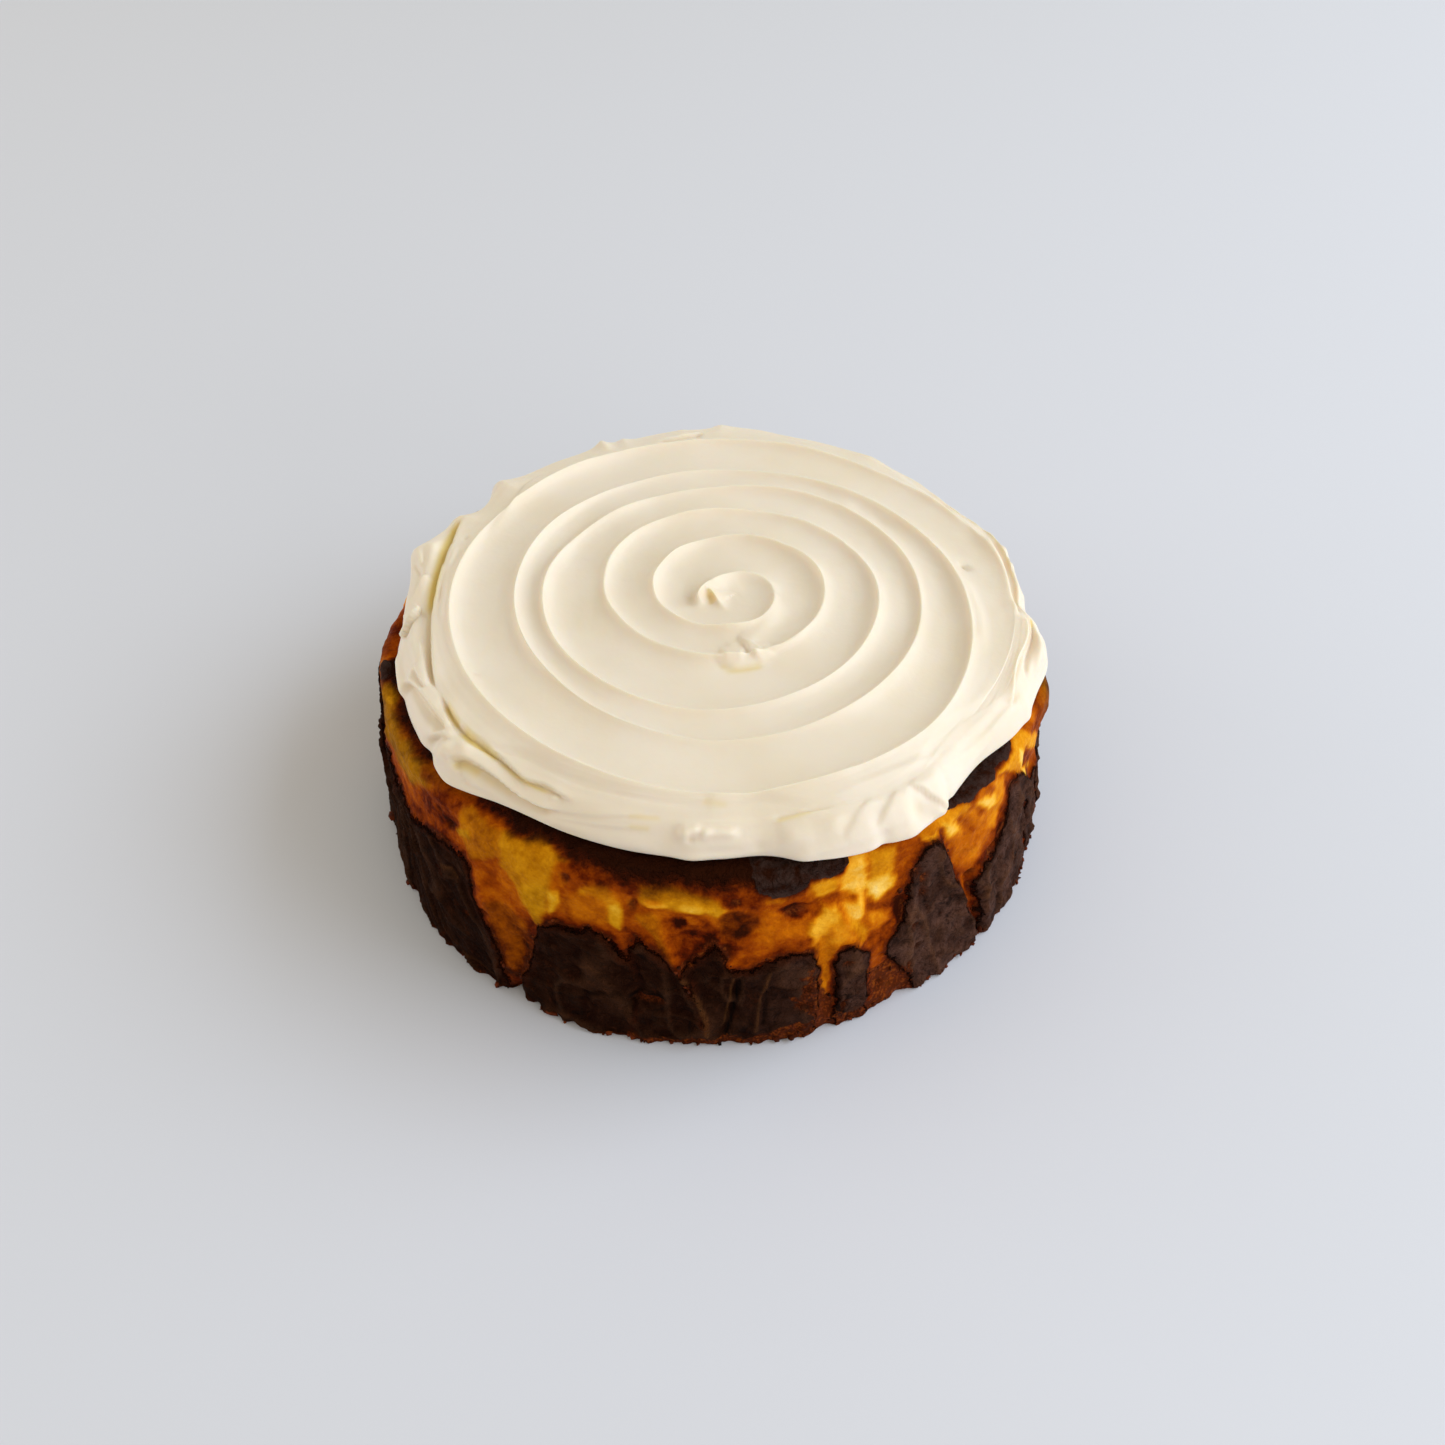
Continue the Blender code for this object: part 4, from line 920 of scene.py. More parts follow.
# larger flakes: angle, height up the wall, size
FLAKES = [
    (78, 46, 1.5), (77.4, 43.6, 0.9), (77.6, 13, 1.3), (-76.8, 56.5, 1.1), (-77, 4, 1.4),
    (30.9, 42, 1.1), (31.8, 36.4, 0.6), (-36, 1.2, 1.3), (-25.4, 1.4, 1.4), (-12, 1, 1.2),
    (12.4, 1.2, 1.2), (33, 1.2, 1.3), (50.6, 1.4, 1.3),
]

crumb_draw = np.random.RandomState(CRUMB_SEED)
wall = (length > 1.0) & (level < WALL_HEIGHT - 6.0)
torn_places = np.argwhere(wall & ((np.abs(fields["skin"] + 0.5) < 0.7) | (fields["torn"] > 0.6)))


def wall_place(turned, height):
    """A place on the cake's wall."""
    column = int(round(turned % 360.0 / 360.0 * CAKE_COLUMNS)) % CAKE_COLUMNS
    row = int(np.argmin(np.abs(level[:BASE_ROWS + WALL_ROWS, column] - height)))
    x, y = level_place(turned, radius[row, column])
    return np.array([x + AXIS_OFFSET[0], y + AXIS_OFFSET[1], height])


lumps = []
for _ in range(FOOT_CRUMBS):
    lumps.append((crumb_draw.uniform(0.0, 360.0), crumb_draw.uniform(0.2, FOOT_HEIGHT),
                  crumb_draw.uniform(*CRUMB_SIZES)))
for pick in crumb_draw.choice(len(torn_places), TORN_CRUMBS, replace=False):
    row, column = torn_places[pick]
    lumps.append((column * 360.0 / CAKE_COLUMNS, level[row, column],
                  TORN_SHRINK * crumb_draw.uniform(*CRUMB_SIZES)))
crumb_shell = bmesh.new()
for turned, height, size in lumps + FLAKES:
    middle = wall_place(turned, height)
    stretch = crumb_draw.uniform(*CRUMB_STRETCH, 3) * size
    stretch[2] = min(stretch[2], 0.9 * height)
    made = bmesh.ops.create_icosphere(crumb_shell, subdivisions=1, radius=1.0)
    for corner in made["verts"]:
        rough = 1.0 + crumb_draw.uniform(-CRUMB_ROUGH, CRUMB_ROUGH)
        corner.co = Vector((middle + np.array(corner.co) * stretch * rough) * MM)
crumb_mesh = bpy.data.meshes.new("torn_crumbs")
crumb_shell.to_mesh(crumb_mesh)
crumb_shell.free()
crumb_mesh.shade_smooth()

crumbly = Finish("baked crumbs")
crumb_colour = crumbly.ramp(crumbly.noise(3.0, 3.0, 0.6), [
    (0.30, SKIN_BLACK), (0.45, SKIN_RED), (0.60, TORN_RED), (0.80, TORN_ORANGE)])
torn_crumbs = place_piece(crumb_mesh, crumbly.done({
    "Base Color": crumb_colour, "Roughness": 0.6, "Specular IOR Level": 0.05,
    "Normal": crumbly.relief(crumbly.noise(0.6, 3.0), 0.3, 0.6)}))
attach(torn_crumbs, "root")


# =========================================================================================================
# The cream. One thick round of soft whipped cream cheese, spread with a knife while the cake turns. The
# knife leaves a spiral ridge that winds out from a small hooked peak, and where it comes off at the edge
# the cream is turned over on itself, pulled into lobes and pockets, and hangs a little over the burnt top.
# =========================================================================================================

CREAM_LEVEL = 72.6
CREAM_FOOT = 62.6
UNDERSIDE_LEVEL = TOP_LEVEL + 0.3
UNDERSIDE_HUB = 45.0

# the cream tucks in under itself: how far in from the foot, and level
TUCKS = [(0.5, CREAM_FOOT - 0.8), (1.4, UNDERSIDE_LEVEL + 0.3), (5.0, UNDERSIDE_LEVEL)]

CREAM_COLUMNS = 400
BAND_ROWS = 16
BAND_CLUSTER = 0.12
HUB_ROWS = 12
SIDE_ROWS = 30

# the ridge: height, how far it falls away outwards and towards the middle, how round its crest is, and the
# thin lip that the knife left along it
RIDGE_HEIGHT = 3.0
RIDGE_FALL_OUT = 4.2
RIDGE_FALL_IN = 2.5
RIDGE_CREST = 0.22
RIDGE_LIP = 0.24
LIP_FALL = 0.9

# radius of the ridge at every eighth of a turn from its start behind the peak in the middle
RIDGE_START = 180.0
RIDGE_RADII = [
    6.5, 9.5, 16.4, 19.7, 17.8, 16, 15.5, 16.2, 20, 25.5, 30.8, 31.5, 29.5, 28, 29, 30.7, 32.5, 38, 45,
    47.8, 48.5, 47, 45, 42.2, 43, 50, 56.5, 59.3, 58.5, 54.5, 53, 51.8, 52, 57, 68, 76.5, 75, 72, 70,
    67.5, 68, 72, 82,
]

# the edge of the cream: (angle, radius) round the foot, and how far the top stands back from it
EDGE_RADII = [
    (-180, 81), (-165, 79.5), (-140, 80), (-128, 81), (-120, 80), (-112, 83.2), (-103, 87), (-95, 86),
    (-86, 84.8), (-73, 86), (-60, 87.3), (-46.5, 89.2), (-37, 86), (-28, 84.9), (-14, 85.5), (2, 86),
    (9, 86.4), (19, 91), (31, 92.8), (37, 92), (44, 88.8), (51, 87.6), (60, 90.4), (70, 91.4),
    (77, 92.8), (82, 91.4), (87.5, 86.8), (100, 86.8), (108, 84.6), (118, 81.6), (132, 81.4),
    (142, 81.6), (158, 80.6),
]
TOP_SETBACK = [
    (-180, 3), (-125, 3), (-105, 4), (-88, 6.2), (-60, 7.4), (0, 7.8), (45, 7.6), (64, 6.6), (78, 5.6),
    (92, 3.4), (110, 2.6), (145, 2.6),
]
EDGE_ROUND = 1.25
EDGE_SLOPE = 10.0

# soft tips pulled out of the edge: angle, half width, reach outwards, rise
TIP_SHARPNESS = 1.4
EDGE_TIPS = [
    (-154, 1.8, 1.8, 2.2), (-159, 2, 1.2, 1.2), (-128, 3, 2.6, 2.2), (-114, 2.2, 1.2, 1.8),
    (-103, 2.6, 1.8, 2), (178, 3.6, 1.8, 1.2), (-173, 3, 0.8, 0.6), (142, 4, 0.8, 0.6),
    (122, 4.5, 0.8, 0.9), (104, 4, 0.8, 0.8), (91, 2.4, 0.6, 0.5),
]

# scallops of the lower edge, where the cream stands out over the crust or draws back: angle, half width,
# reach
FOOT_SCALLOPS = [
    (-79, 3, 0.4), (-53.6, 2, -1.3), (-46.8, 2.2, 0.5), (-2.8, 2.6, 0.7), (14.4, 2.2, 0.8),
    (27.2, 1.4, -0.9), (31.8, 1.6, 0.6), (38.6, 1.2, 0.8), (40.8, 0.9, -0.6), (64.4, 1.6, 0.7),
    (84.5, 1, -0.8),
]

# folds: height of the upper side and how far back it falls off, depth of the lower side and how far it
# takes to rise again, sharpness, share of the length over which both ends fade, then (angle, radius)
# along it, with the upper side on the left of the way; a radius beyond the top's edge runs down the side
CREAM_FOLDS = [
    (1.2, 3, 2.2, 1.6, 0.2, 0.1, [(-114, 78.5), (-110, 77.4), (-105, 75.8), (-100, 75.4), (-95, 75.2),
        (-90, 75), (-85, 75.2), (-80, 75.6), (-75, 76.1), (-70, 77.2), (-65.5, 78.3), (-61, 79.2)]),
    (0.7, 3, 2.2, 1.5, 0.18, 0.12, [(-60, 78.8), (-56.5, 79), (-53.5, 79.6), (-50.5, 80), (-46.8, 80),
        (-45.6, 79.6), (-42.5, 79.8), (-40, 80.3), (-37.5, 81), (-34, 82), (-32.5, 81.8), (-29.5, 81.2),
        (-26, 82), (-23, 82.9)]),
    (1.2, 2.6, 2.3, 3.6, 0.2, 0.12, [(-46.8, 89.6), (-46.3, 88), (-45, 86.6), (-43.5, 86), (-40, 85.4),
        (-37, 85.5), (-33, 86.2), (-29, 86.5), (-25, 86)]),
    (1.4, 2.6, 1.4, 1.6, 0.25, 0.15, [(-95.4, 78.6), (-94.4, 79.8), (-93, 81), (-91, 82.6), (-89, 84),
        (-86, 85.5), (-82.5, 86.2)]),
    (1.4, 2.6, 1.4, 3, 0.25, 0.12, [(-81.2, 87.5), (-82, 85.6), (-83.2, 82.8), (-84.4, 80.2),
        (-85.4, 78.6)]),
    (1.3, 3, 2.1, 3.2, 0.4, 0.15, [(-69.5, 88), (-67.5, 86.4), (-64.6, 85), (-61, 84.2), (-57, 83.9),
        (-53.8, 83.8), (-51.5, 84.6)]),
    (0.8, 1.8, 1.2, 1.2, 0.25, 0.2, [(-70.5, 83.6), (-67.5, 83.2), (-65, 82.8), (-63, 82.4)]),
    (1.3, 2.2, 1.6, 2.4, 0.4, 0.2, [(-55.5, 90.5), (-53.8, 88.6), (-52.6, 86.8), (-51, 85.6),
        (-49, 85.2)]),
    (0.5, 2.4, 0.6, 2.4, 0.4, 0.2, [(-138, 72.8), (-132, 72.6), (-127, 70.6), (-121, 68), (-114.8, 67.6),
        (-107.4, 67.6)]),
    (0.5, 2, 1.4, 1.6, 0.3, 0.2, [(-166, 71.4), (-170, 71.6), (-174.5, 73), (-178, 74.4)]),
    (0.35, 1.6, 0.35, 1.6, 0.25, 0.2, [(-147, 69.6), (-151.8, 68.9), (-157.6, 67.8)]),
    (1.1, 2.4, 1.3, 1.8, 0.22, 0.12, [(83, 83.4), (86, 82.4), (91, 81.8), (96, 82), (100, 81.6),
        (107, 80.8)]),
    (1.7, 2.4, 1.2, 2.2, 0.22, 0.1, [(61.5, 89.6), (63, 88.4), (64.8, 87.2), (66.8, 86), (70, 85.2),
        (73.5, 85.6), (77, 86.2), (80, 86), (82.8, 85.2)]),
    (0.8, 2, 0.6, 1.6, 0.25, 0.15, [(95, 84.6), (99, 85.2), (103, 84.2), (107, 84.4), (111, 82.6),
        (115, 81.8), (120, 80)]),
    (0.5, 3.5, 0.5, 4, 0.8, 0.15, [(66, 90.7), (57.5, 88.1), (53.2, 87.7), (45.2, 86.9)]),
    (0.5, 4, 0.35, 2.6, 0.25, 0.12, [(29, 76.2), (19.4, 75.5), (11.2, 75.6), (4.1, 75.2), (-0.6, 74.7)]),
    (0.3, 2.5, 0.55, 1.8, 0.25, 0.2, [(21, 83.7), (16.2, 83.2), (13.2, 83.3), (10.5, 83.6)]),
    (0.3, 2, 0.4, 1.8, 0.3, 0.2, [(-31.5, 87.2), (-26.5, 86), (-21.2, 84.8), (-15.8, 83.3),
        (-9.2, 81.9)]),
    (0.25, 2, 0.35, 2, 0.3, 0.2, [(-28.5, 88.4), (-22, 87.1), (-15.5, 85.9), (-9.2, 84.9)]),
    (0.7, 2.2, 0.9, 2.6, 0.35, 0.15, [(33.6, 86), (35.6, 88.6), (36.4, 91), (37.8, 93.4), (39, 96.6)]),
    (0.45, 2.6, 0.5, 2.4, 0.7, 0.2, [(32, 85), (29.6, 87.9), (27.4, 90.8), (26, 93.1)]),
    (0.35, 2.6, 0.4, 2.2, 0.7, 0.2, [(27.6, 83.6), (24.6, 86.9), (22.2, 90), (20.6, 92.1)]),
    (0.6, 2.6, 0.6, 2, 0.35, 0.2, [(0.4, 29), (4, 30.6), (8, 31.9), (12.6, 32.9), (17.5, 33.3),
        (22.8, 33.2), (28.3, 33), (34.3, 32.8)]),
    (1.3, 3, 0.3, 1.8, 0.4, 0.2, [(17.6, 22.6), (20, 24), (21.1, 26.1), (20.8, 29), (22.2, 31.4),
        (26.5, 32.6)]),
    (0.5, 2.4, 0.5, 2.4, 0.45, 0.25, [(37.7, 31.6), (32.6, 30.6), (28.4, 29.4), (26, 27.3), (24, 25),
        (20, 23.6), (12.9, 24), (6.8, 25.4), (1.5, 27)]),
]

# raised strands and worn grooves: half width, rise, then (angle, radius) along it
CREAM_STRANDS = [
    (2.8, 1, [(5, 28.4), (10, 28), (15, 28.2), (19.6, 29.4)]),
    (1.5, 0.7, [(22, 24.6), (25, 26.6), (28.6, 28.6), (33, 30.2)]),
    (1.8, 0.6, [(74, 18.9), (56.8, 20.8), (38.7, 22.6), (27, 24.3), (21, 25.4)]),
    (0.55, 0.35, [(27.1, 26.2), (30.1, 29.4), (33.9, 31.3), (40, 32), (48.8, 32.3), (59.1, 31.8)]),
    (0.5, -0.35, [(25.4, 28.9), (28.6, 30.8), (34, 32.6), (42.2, 32.8), (52.3, 32.6), (63.6, 31.9)]),
    (1.3, 0.6, [(94, 68.6), (88.6, 70.2), (82.2, 72.2), (75.3, 74), (68.4, 75)]),
    (1.6, 0.7, [(-108, 81.4), (-103, 80.4), (-98, 79.6), (-92, 79), (-86, 78.6)]),
    (1.2, 0.9, [(-103, 87), (-100.5, 84.4), (-98, 82.4)]),
    (0.7, -0.5, [(-101.5, 88.5), (-99, 85.6), (-97, 83.4), (-96, 81.6)]),
    (1.5, 0.5, [(-67.2, 85), (-60.8, 84), (-55.8, 83.3)]),
    (1.8, 0.8, [(85.5, 86), (90, 85.4), (96, 85.6), (102, 85), (110, 84)]),
    (0.9, -1.3, [(82.4, 87), (80.6, 88.2), (77, 88.2), (73.5, 88), (70.8, 89), (68.4, 91.4)]),
    (0.7, -0.9, [(81, 91), (79.4, 92), (77.2, 93.8)]),
    (1, 0.7, [(81, 89.6), (77.5, 90.4), (74, 91.2), (71, 93.2)]),
    (1.6, 1.1, [(-79, 88.4), (-74, 88.8), (-70, 89.6), (-66, 90.6)]),
    (1.4, 0.6, [(-77, 79.8), (-72, 79.9), (-68, 80.4), (-63.5, 81)]),
    (0.7, 0.45, [(-92, 72.6), (-87, 72), (-82, 72.4), (-77, 72.8)]),
    (0.6, -0.35, [(-97, 74), (-92, 73.6), (-87.5, 73.3), (-83, 73.6)]),
    (0.7, 0.5, [(-104, 73.6), (-100, 73), (-96, 73.2)]),
    (0.9, -0.35, [(134, 78), (126, 77), (114, 77.6), (104, 79.2)]),
    (0.6, 0.25, [(150, 77), (140, 77.6), (132, 77.4)]),
    (1.2, 0.35, [(20, 80.6), (28, 80.6), (36, 81.6), (44.8, 84)]),
    (0.5, -0.22, [(-18, 52.4), (-10, 55), (-2, 57.4), (6, 58.4)]),
    (1, 0.8, [(-1.5, 84.8), (1.5, 85.2), (5.5, 85.2)]),
]

# lumps and holes: angle, radius, half widths round the cake and outwards, rise
CREAM_LUMPS = [
    (-49.3, 88.4, 3.2, 3.2, 1.9), (-45.8, 84.6, 2.4, 1.8, 1), (-3.6, 85.2, 1.8, 1.6, 2.1),
    (-2, 84.4, 1.3, 1, 1.2), (-0.6, 85.4, 1.6, 1.2, 0.9), (-2.9, 86.4, 0.8, 0.8, -0.9),
    (37.4, 94.6, 2.6, 3, 1.4), (33.6, 92.6, 2, 2.6, -0.9), (96.8, 70.6, 1.6, 0.65, -1.5),
    (99.2, 69.8, 0.9, 0.9, 0.35), (76, 92.2, 4.2, 2.8, 1.6), (97.5, 86.4, 2, 1.8, 0.8),
    (102, 86, 2.2, 1.8, 0.9), (107, 85.4, 2.4, 1.8, 0.8), (112.5, 84, 2.4, 1.8, 0.7),
    (118, 82, 3, 1.8, 0.6), (99.8, 86.6, 0.8, 1.6, -0.8), (104.6, 86, 0.8, 1.6, -0.8),
    (110, 84.8, 0.9, 1.6, -0.7), (115.4, 83, 0.9, 1.6, -0.6), (132, 53, 4.2, 2.4, 0.6),
    (120, 56, 3, 1.4, -0.3), (-107, 72.6, 0.9, 0.9, -0.6), (-60.4, 69, 0.6, 0.6, -0.35),
    (-27, 83, 0.9, 0.9, 0.7), (165, 22.6, 0.6, 0.6, -0.3), (150, 23.4, 1.3, 0.5, 0.25),
    (143, 26, 0.5, 0.5, -0.3), (-33, 64, 8, 5, -0.25), (60, 68, 9, 4, -0.25), (-150, 60, 10, 4, -0.2),
    (15, 66, 9, 4, 0.2), (13, 87.6, 2.4, 2, 0.5), (20, 88, 2.6, 2.4, 0.5), (8, 88.6, 2, 1.6, -0.3),
    (-12, 88.6, 4, 1.8, 0.3),
]

# where the cream is painted yellow as the shade in its folds, crevices and hollows: half width, share, then
# (angle, radius) along it
CREAM_SHADED_FOLDS = [
    (1.5, 1, [(-114.5, 79.4), (-110, 78.4), (-104, 77), (-97, 76.2), (-88, 75.8), (-80, 76.2)]),
    (0.8, 0.8, [(-57.4, 79.2), (-53.5, 80), (-50, 80.5)]),
    (1.3, 0.9, [(-50.5, 80.6), (-46.5, 80.8), (-42.5, 80.6), (-39, 81.4)]),
    (0.7, 0.7, [(-41, 81), (-36.5, 82), (-32, 82.4), (-27, 82.6)]),
    (0.9, 1, [(82.6, 87), (80.8, 88)]),
    (1.7, 0.6, [(-46.4, 90), (-45.4, 88.6), (-43.5, 87.4), (-40.5, 87.2)]),
    (1.2, 0.35, [(-42, 87.2), (-38.5, 87), (-34, 87.4)]),
    (0.9, 0.4, [(-14, 82.8), (-11, 82.4), (-7, 82.2)]),
    (0.9, 0.4, [(-13.5, 85.2), (-9, 84.9)]),
    (1, 0.35, [(-1.5, 76.4), (1, 77.2), (4, 77.8)]),
    (0.8, 0.5, [(10.5, 83.8), (14.2, 83.5), (18, 83.4)]),
    (1, 0.55, [(3, 31.2), (8, 33), (13, 33.9), (20, 34), (26, 33.4)]),
    (1.4, 0.6, [(-15.5, 3.6), (3.4, 5), (7.3, 7)]),
]

# the peak: (across, away from the front, height over the cream) along its crest, from its hooked tip
PEAK_CREST = [
    (-3.1, -5.4, 3.2), (-2.3, -4.1, 3.9), (-0.6, -2, 4.1), (1.5, 0.4, 3.7), (3.4, 2.5, 3.1),
    (5.9, 4.1, 2.6), (8.4, 4.8, 2.4), (11.4, 4.5, 2.2), (14.3, 2.9, 2.1), (16.5, 0.1, 2),
    (17.5, -3.9, 1.8), (17.4, -7.8, 1.2),
]
PEAK_HOOK = 0.7
PEAK_REACH = 30.0

# how far the crest falls away on its two sides: (share of its length, distance)
PEAK_FALL_LEFT = [(0, 0.8), (0.08, 1.3), (0.35, 2.6), (1, 2.6)]
PEAK_FALL_RIGHT = [(0, 0.8), (0.2, 1.1), (0.45, 2.8), (0.85, 2.4), (1, 2.6)]

# a thin edge that runs down from the peak's summit to the front, with a hollow on its left
PEAK_EDGE = [
    (-1.6, -3.3, 3.9), (-0.6, -3.4, 3.6), (0.5, -4, 3), (1.5, -5.3, 2.2), (2.6, -6.7, 1.2),
    (4.4, -7.9, 0.2),
]
EDGE_FALL_LEFT = [(0, 0.7), (0.3, 2.6), (0.8, 3.2), (1, 0.9)]
EDGE_FALL_RIGHT = 0.7

PATH_PARTS = 5
STRAND_FADE = 0.25
YELLOW_FADE = 0.2
DEEP_REACH = 1.4
CREST_PARTS = 6

# unevenness of the cream: width round the cake, length outwards, seed
KNIFE_STREAKS = (24.0, 2.2, 301)
FINE_STREAKS = (9.0, 1.3, 302)
SWELLS = (26.0, 17.0, 303)
SIDE_STROKES = (22.0, 2.3, 304)
SIDE_WAVES = (17.0, 6.0, 305)
EDGE_SEED = 21
EDGE_WAVES = 30


def through(before, here, after, beyond, part):
    """A place between the two middle ones of four, on a smooth curve (Catmull-Rom)."""
    return 0.5 * (2.0 * here + (after - before) * part
                  + (2.0 * before - 5.0 * here + 4.0 * after - beyond) * part ** 2
                  + (3.0 * (here - after) + beyond - before) * part ** 3)


def smooth_line(points, parts):
    """A smooth curve through points, so many parts to a stretch."""
    knots = np.array(points, float)
    knots = np.concatenate([2.0 * knots[:1] - knots[1:2], knots, 2.0 * knots[-1:] - knots[-2:-1]])
    part = (np.arange(parts) / parts)[:, None]
    curve = [through(*four, part) for four in zip(knots, knots[1:], knots[2:], knots[3:])]
    return np.concatenate(curve + [knots[-2:-1]])


def beside_line(line, x, y):
    """Distance to a line, above 0 on the left of its way, and the share of its length at the nearest
    place."""
    nearest, along = np.full(x.shape, np.inf), np.zeros(x.shape)
    side = np.ones(x.shape)
    for i, (start, end) in enumerate(zip(line[:, :2], line[1:, :2])):
        off, part = to_stretch(x, y, start, end)
        left = np.sign((end[0] - start[0]) * (y - start[1]) - (end[1] - start[1]) * (x - start[0]))
        closer = off < nearest
        nearest = np.where(closer, off, nearest)
        side = np.where(closer, left, side)
        along = np.where(closer, (i + part) / (len(line) - 1), along)
    return side * nearest, along


def beside_path(path, x, y, reach, fade):
    """Which places are in reach of a drawn (angle, radius) path, their distance to it, above 0 on the
    left of its way, and a share that fades at its ends."""
    line = smooth_line(np.stack(level_place(*np.array(path, float).T), axis=-1), PATH_PARTS)
    low, high = line.min(axis=0) - reach, line.max(axis=0) + reach
    near = (x > low[0]) & (x < high[0]) & (y > low[1]) & (y < high[1])
    off, along = beside_line(line, x[near], y[near])
    return near, off, ease(along, 0.0, fade) * ease(1.0 - along, 0.0, fade)


def cream_relief(angle, spread):
    """Rise of the cream's surface at an angle and a spread-out radius, how far down in a fold or hollow it
    lies and how yellow it is painted there, both as painted shade."""
    x, y = level_place(angle, spread)
    rise, fold_shade, yellow = (np.zeros(x.shape) for _ in range(3))
    for upper, fall, drop, far, sharp, fade, path in CREAM_FOLDS:
        near, off, ends = beside_path(path, x, y, 5.0 * max(fall, far), fade)
        over = 1.0 / (1.0 + np.exp(-np.clip(off / sharp * 2.0, -40.0, 40.0)))
        high = over * np.exp(-np.maximum(off, 0.0) / fall)
        low = (1.0 - over) * np.exp(-np.maximum(-off, 0.0) / far)
        rise[near] += ends * (upper * high - drop * low)
        # painted shade in the low side of the fold
        fold_shade[near] = np.maximum(fold_shade[near], ends * drop * low * np.exp(-np.abs(off) / DEEP_REACH))
    for half_width, height, path in CREAM_STRANDS:
        near, off, ends = beside_path(path, x, y, 4.0 * half_width, STRAND_FADE)
        rise[near] += height * ends * bump(off, 0.0, half_width)
    for half_width, share, path in CREAM_SHADED_FOLDS:
        near, off, ends = beside_path(path, x, y, 4.0 * half_width, YELLOW_FADE)
        yellow[near] = np.maximum(yellow[near], share * ends * bump(off, 0.0, half_width))
    for centre, place, across, outwards, height in CREAM_LUMPS:
        beside = np.radians(angle_from(angle, centre)) * place
        hill = bump(beside, 0.0, across) * bump(spread, place, outwards)
        rise += height * hill
        # holes get painted shade too
        fold_shade += max(-height, 0.0) * hill
    return rise, fold_shade, yellow


def closed_curve(points, angle):
    """A smooth closed curve through (angle, size) points, read at any angle."""
    at, size = (np.array(values, float) for values in zip(*sorted(points)))
    at = np.concatenate([at[-2:] - 360.0, at, at[:2] + 360.0])
    size = np.concatenate([size[-2:], size, size[:2]])
    slope = np.zeros(len(at))
    slope[1:-1] = (size[2:] - size[:-2]) / (at[2:] - at[:-2])
    place = (np.asarray(angle, float) - at[2]) % 360.0 + at[2]
    step = np.clip(np.searchsorted(at, place, side="right") - 1, 1, len(at) - 3)
    gap = at[step + 1] - at[step]
    part = (place - at[step]) / gap
    return (size[step] * (1.0 + 2.0 * part) * (1.0 - part) ** 2
            + size[step + 1] * (3.0 - 2.0 * part) * part ** 2
            + gap * (slope[step] * part * (1.0 - part) ** 2 - slope[step + 1] * part ** 2 * (1.0 - part)))


def foot_radius(angle):
    """Radius of the cream round its foot."""
    reach = sum(out * bump_round(angle, centre, half_width) for centre, half_width, out in FOOT_SCALLOPS)
    return closed_curve(EDGE_RADII, angle) + 0.15 * uneven(angle, 0.0, EDGE_SEED, EDGE_WAVES) + reach


def top_radius(angle):
    """Radius where the flat top of the cream bends down."""
    ripple = 0.4 * uneven(angle, 0.0, EDGE_SEED, EDGE_WAVES)
    return closed_curve(EDGE_RADII, angle) + ripple - closed_curve(TOP_SETBACK, angle)


EIGHTHS = len(RIDGE_RADII)
RIDGE_STEPS = EIGHTHS * CREAM_COLUMNS // 8
RIDGE_END = float(top_radius(np.array([RIDGE_START - 45.0 * EIGHTHS]))[0])


def ridge_radius(step):
    """Radius of the ridge's crest at a step along it, of which a turn has CREAM_COLUMNS."""
    knots = np.array([RIDGE_RADII[0]] + RIDGE_RADII + [RIDGE_END, RIDGE_END])
    at = np.clip(np.asarray(step, float), 0.0, RIDGE_STEPS) * 8.0 / CREAM_COLUMNS
    low = np.minimum(at.astype(int), EIGHTHS - 1)
    curve = through(knots[low], knots[low + 1], knots[low + 2], knots[low + 3], at - low)
    return np.where(at >= EIGHTHS, RIDGE_END, curve)


def crest_radius(step):
    """The same, but never outside the flat top, and on its edge past the end of the ridge."""
    ring = top_radius(RIDGE_START - step * 360.0 / CREAM_COLUMNS)
    inside = np.minimum(ridge_radius(step), ring - 0.3 * ease(RIDGE_STEPS - step, 0.0, 12.0))
    return np.where(step <= 0, ridge_radius(0.0), np.where(step < RIDGE_STEPS, inside, ring))


def ridge_height(step):
    """Height of the ridge at a step along it: it grows out of the peak and dies away into the edge, and
    is shallower in front, where the knife pressed it flat."""
    turn = step / CREAM_COLUMNS
    grown = ease(turn, 0.17, 0.36) * ease((RIDGE_STEPS - step) / CREAM_COLUMNS, 0.0, 0.35)
    angle = RIDGE_START - 360.0 * turn
    front, back = bump_round(angle, 2.0, 26.0), bump_round(angle, 180.0, 40.0)
    wander = 1.0 + 0.12 * np.sin(turn * 17.0) + 0.10 * np.sin(turn * 41.0 + 2.0)
    height = RIDGE_HEIGHT * grown * wander * (1.0 - 0.55 * ease(turn, 2.2, 3.2) * front - 0.15 * back)
    return np.where((step < 0) | (step > RIDGE_STEPS), 0.0, height)


def from_crest(distance, rounding):
    """Distance from a crest that is rounded by so much."""
    return np.hypot(distance, rounding) - rounding


def ridge_hill(distance, fall):
    """Height of the ridge at a distance from its crest, as a part of its full height."""
    off = from_crest(distance, RIDGE_CREST)
    return (1.0 - RIDGE_LIP) * np.exp(-off / fall) + RIDGE_LIP * np.exp(-off / LIP_FALL)


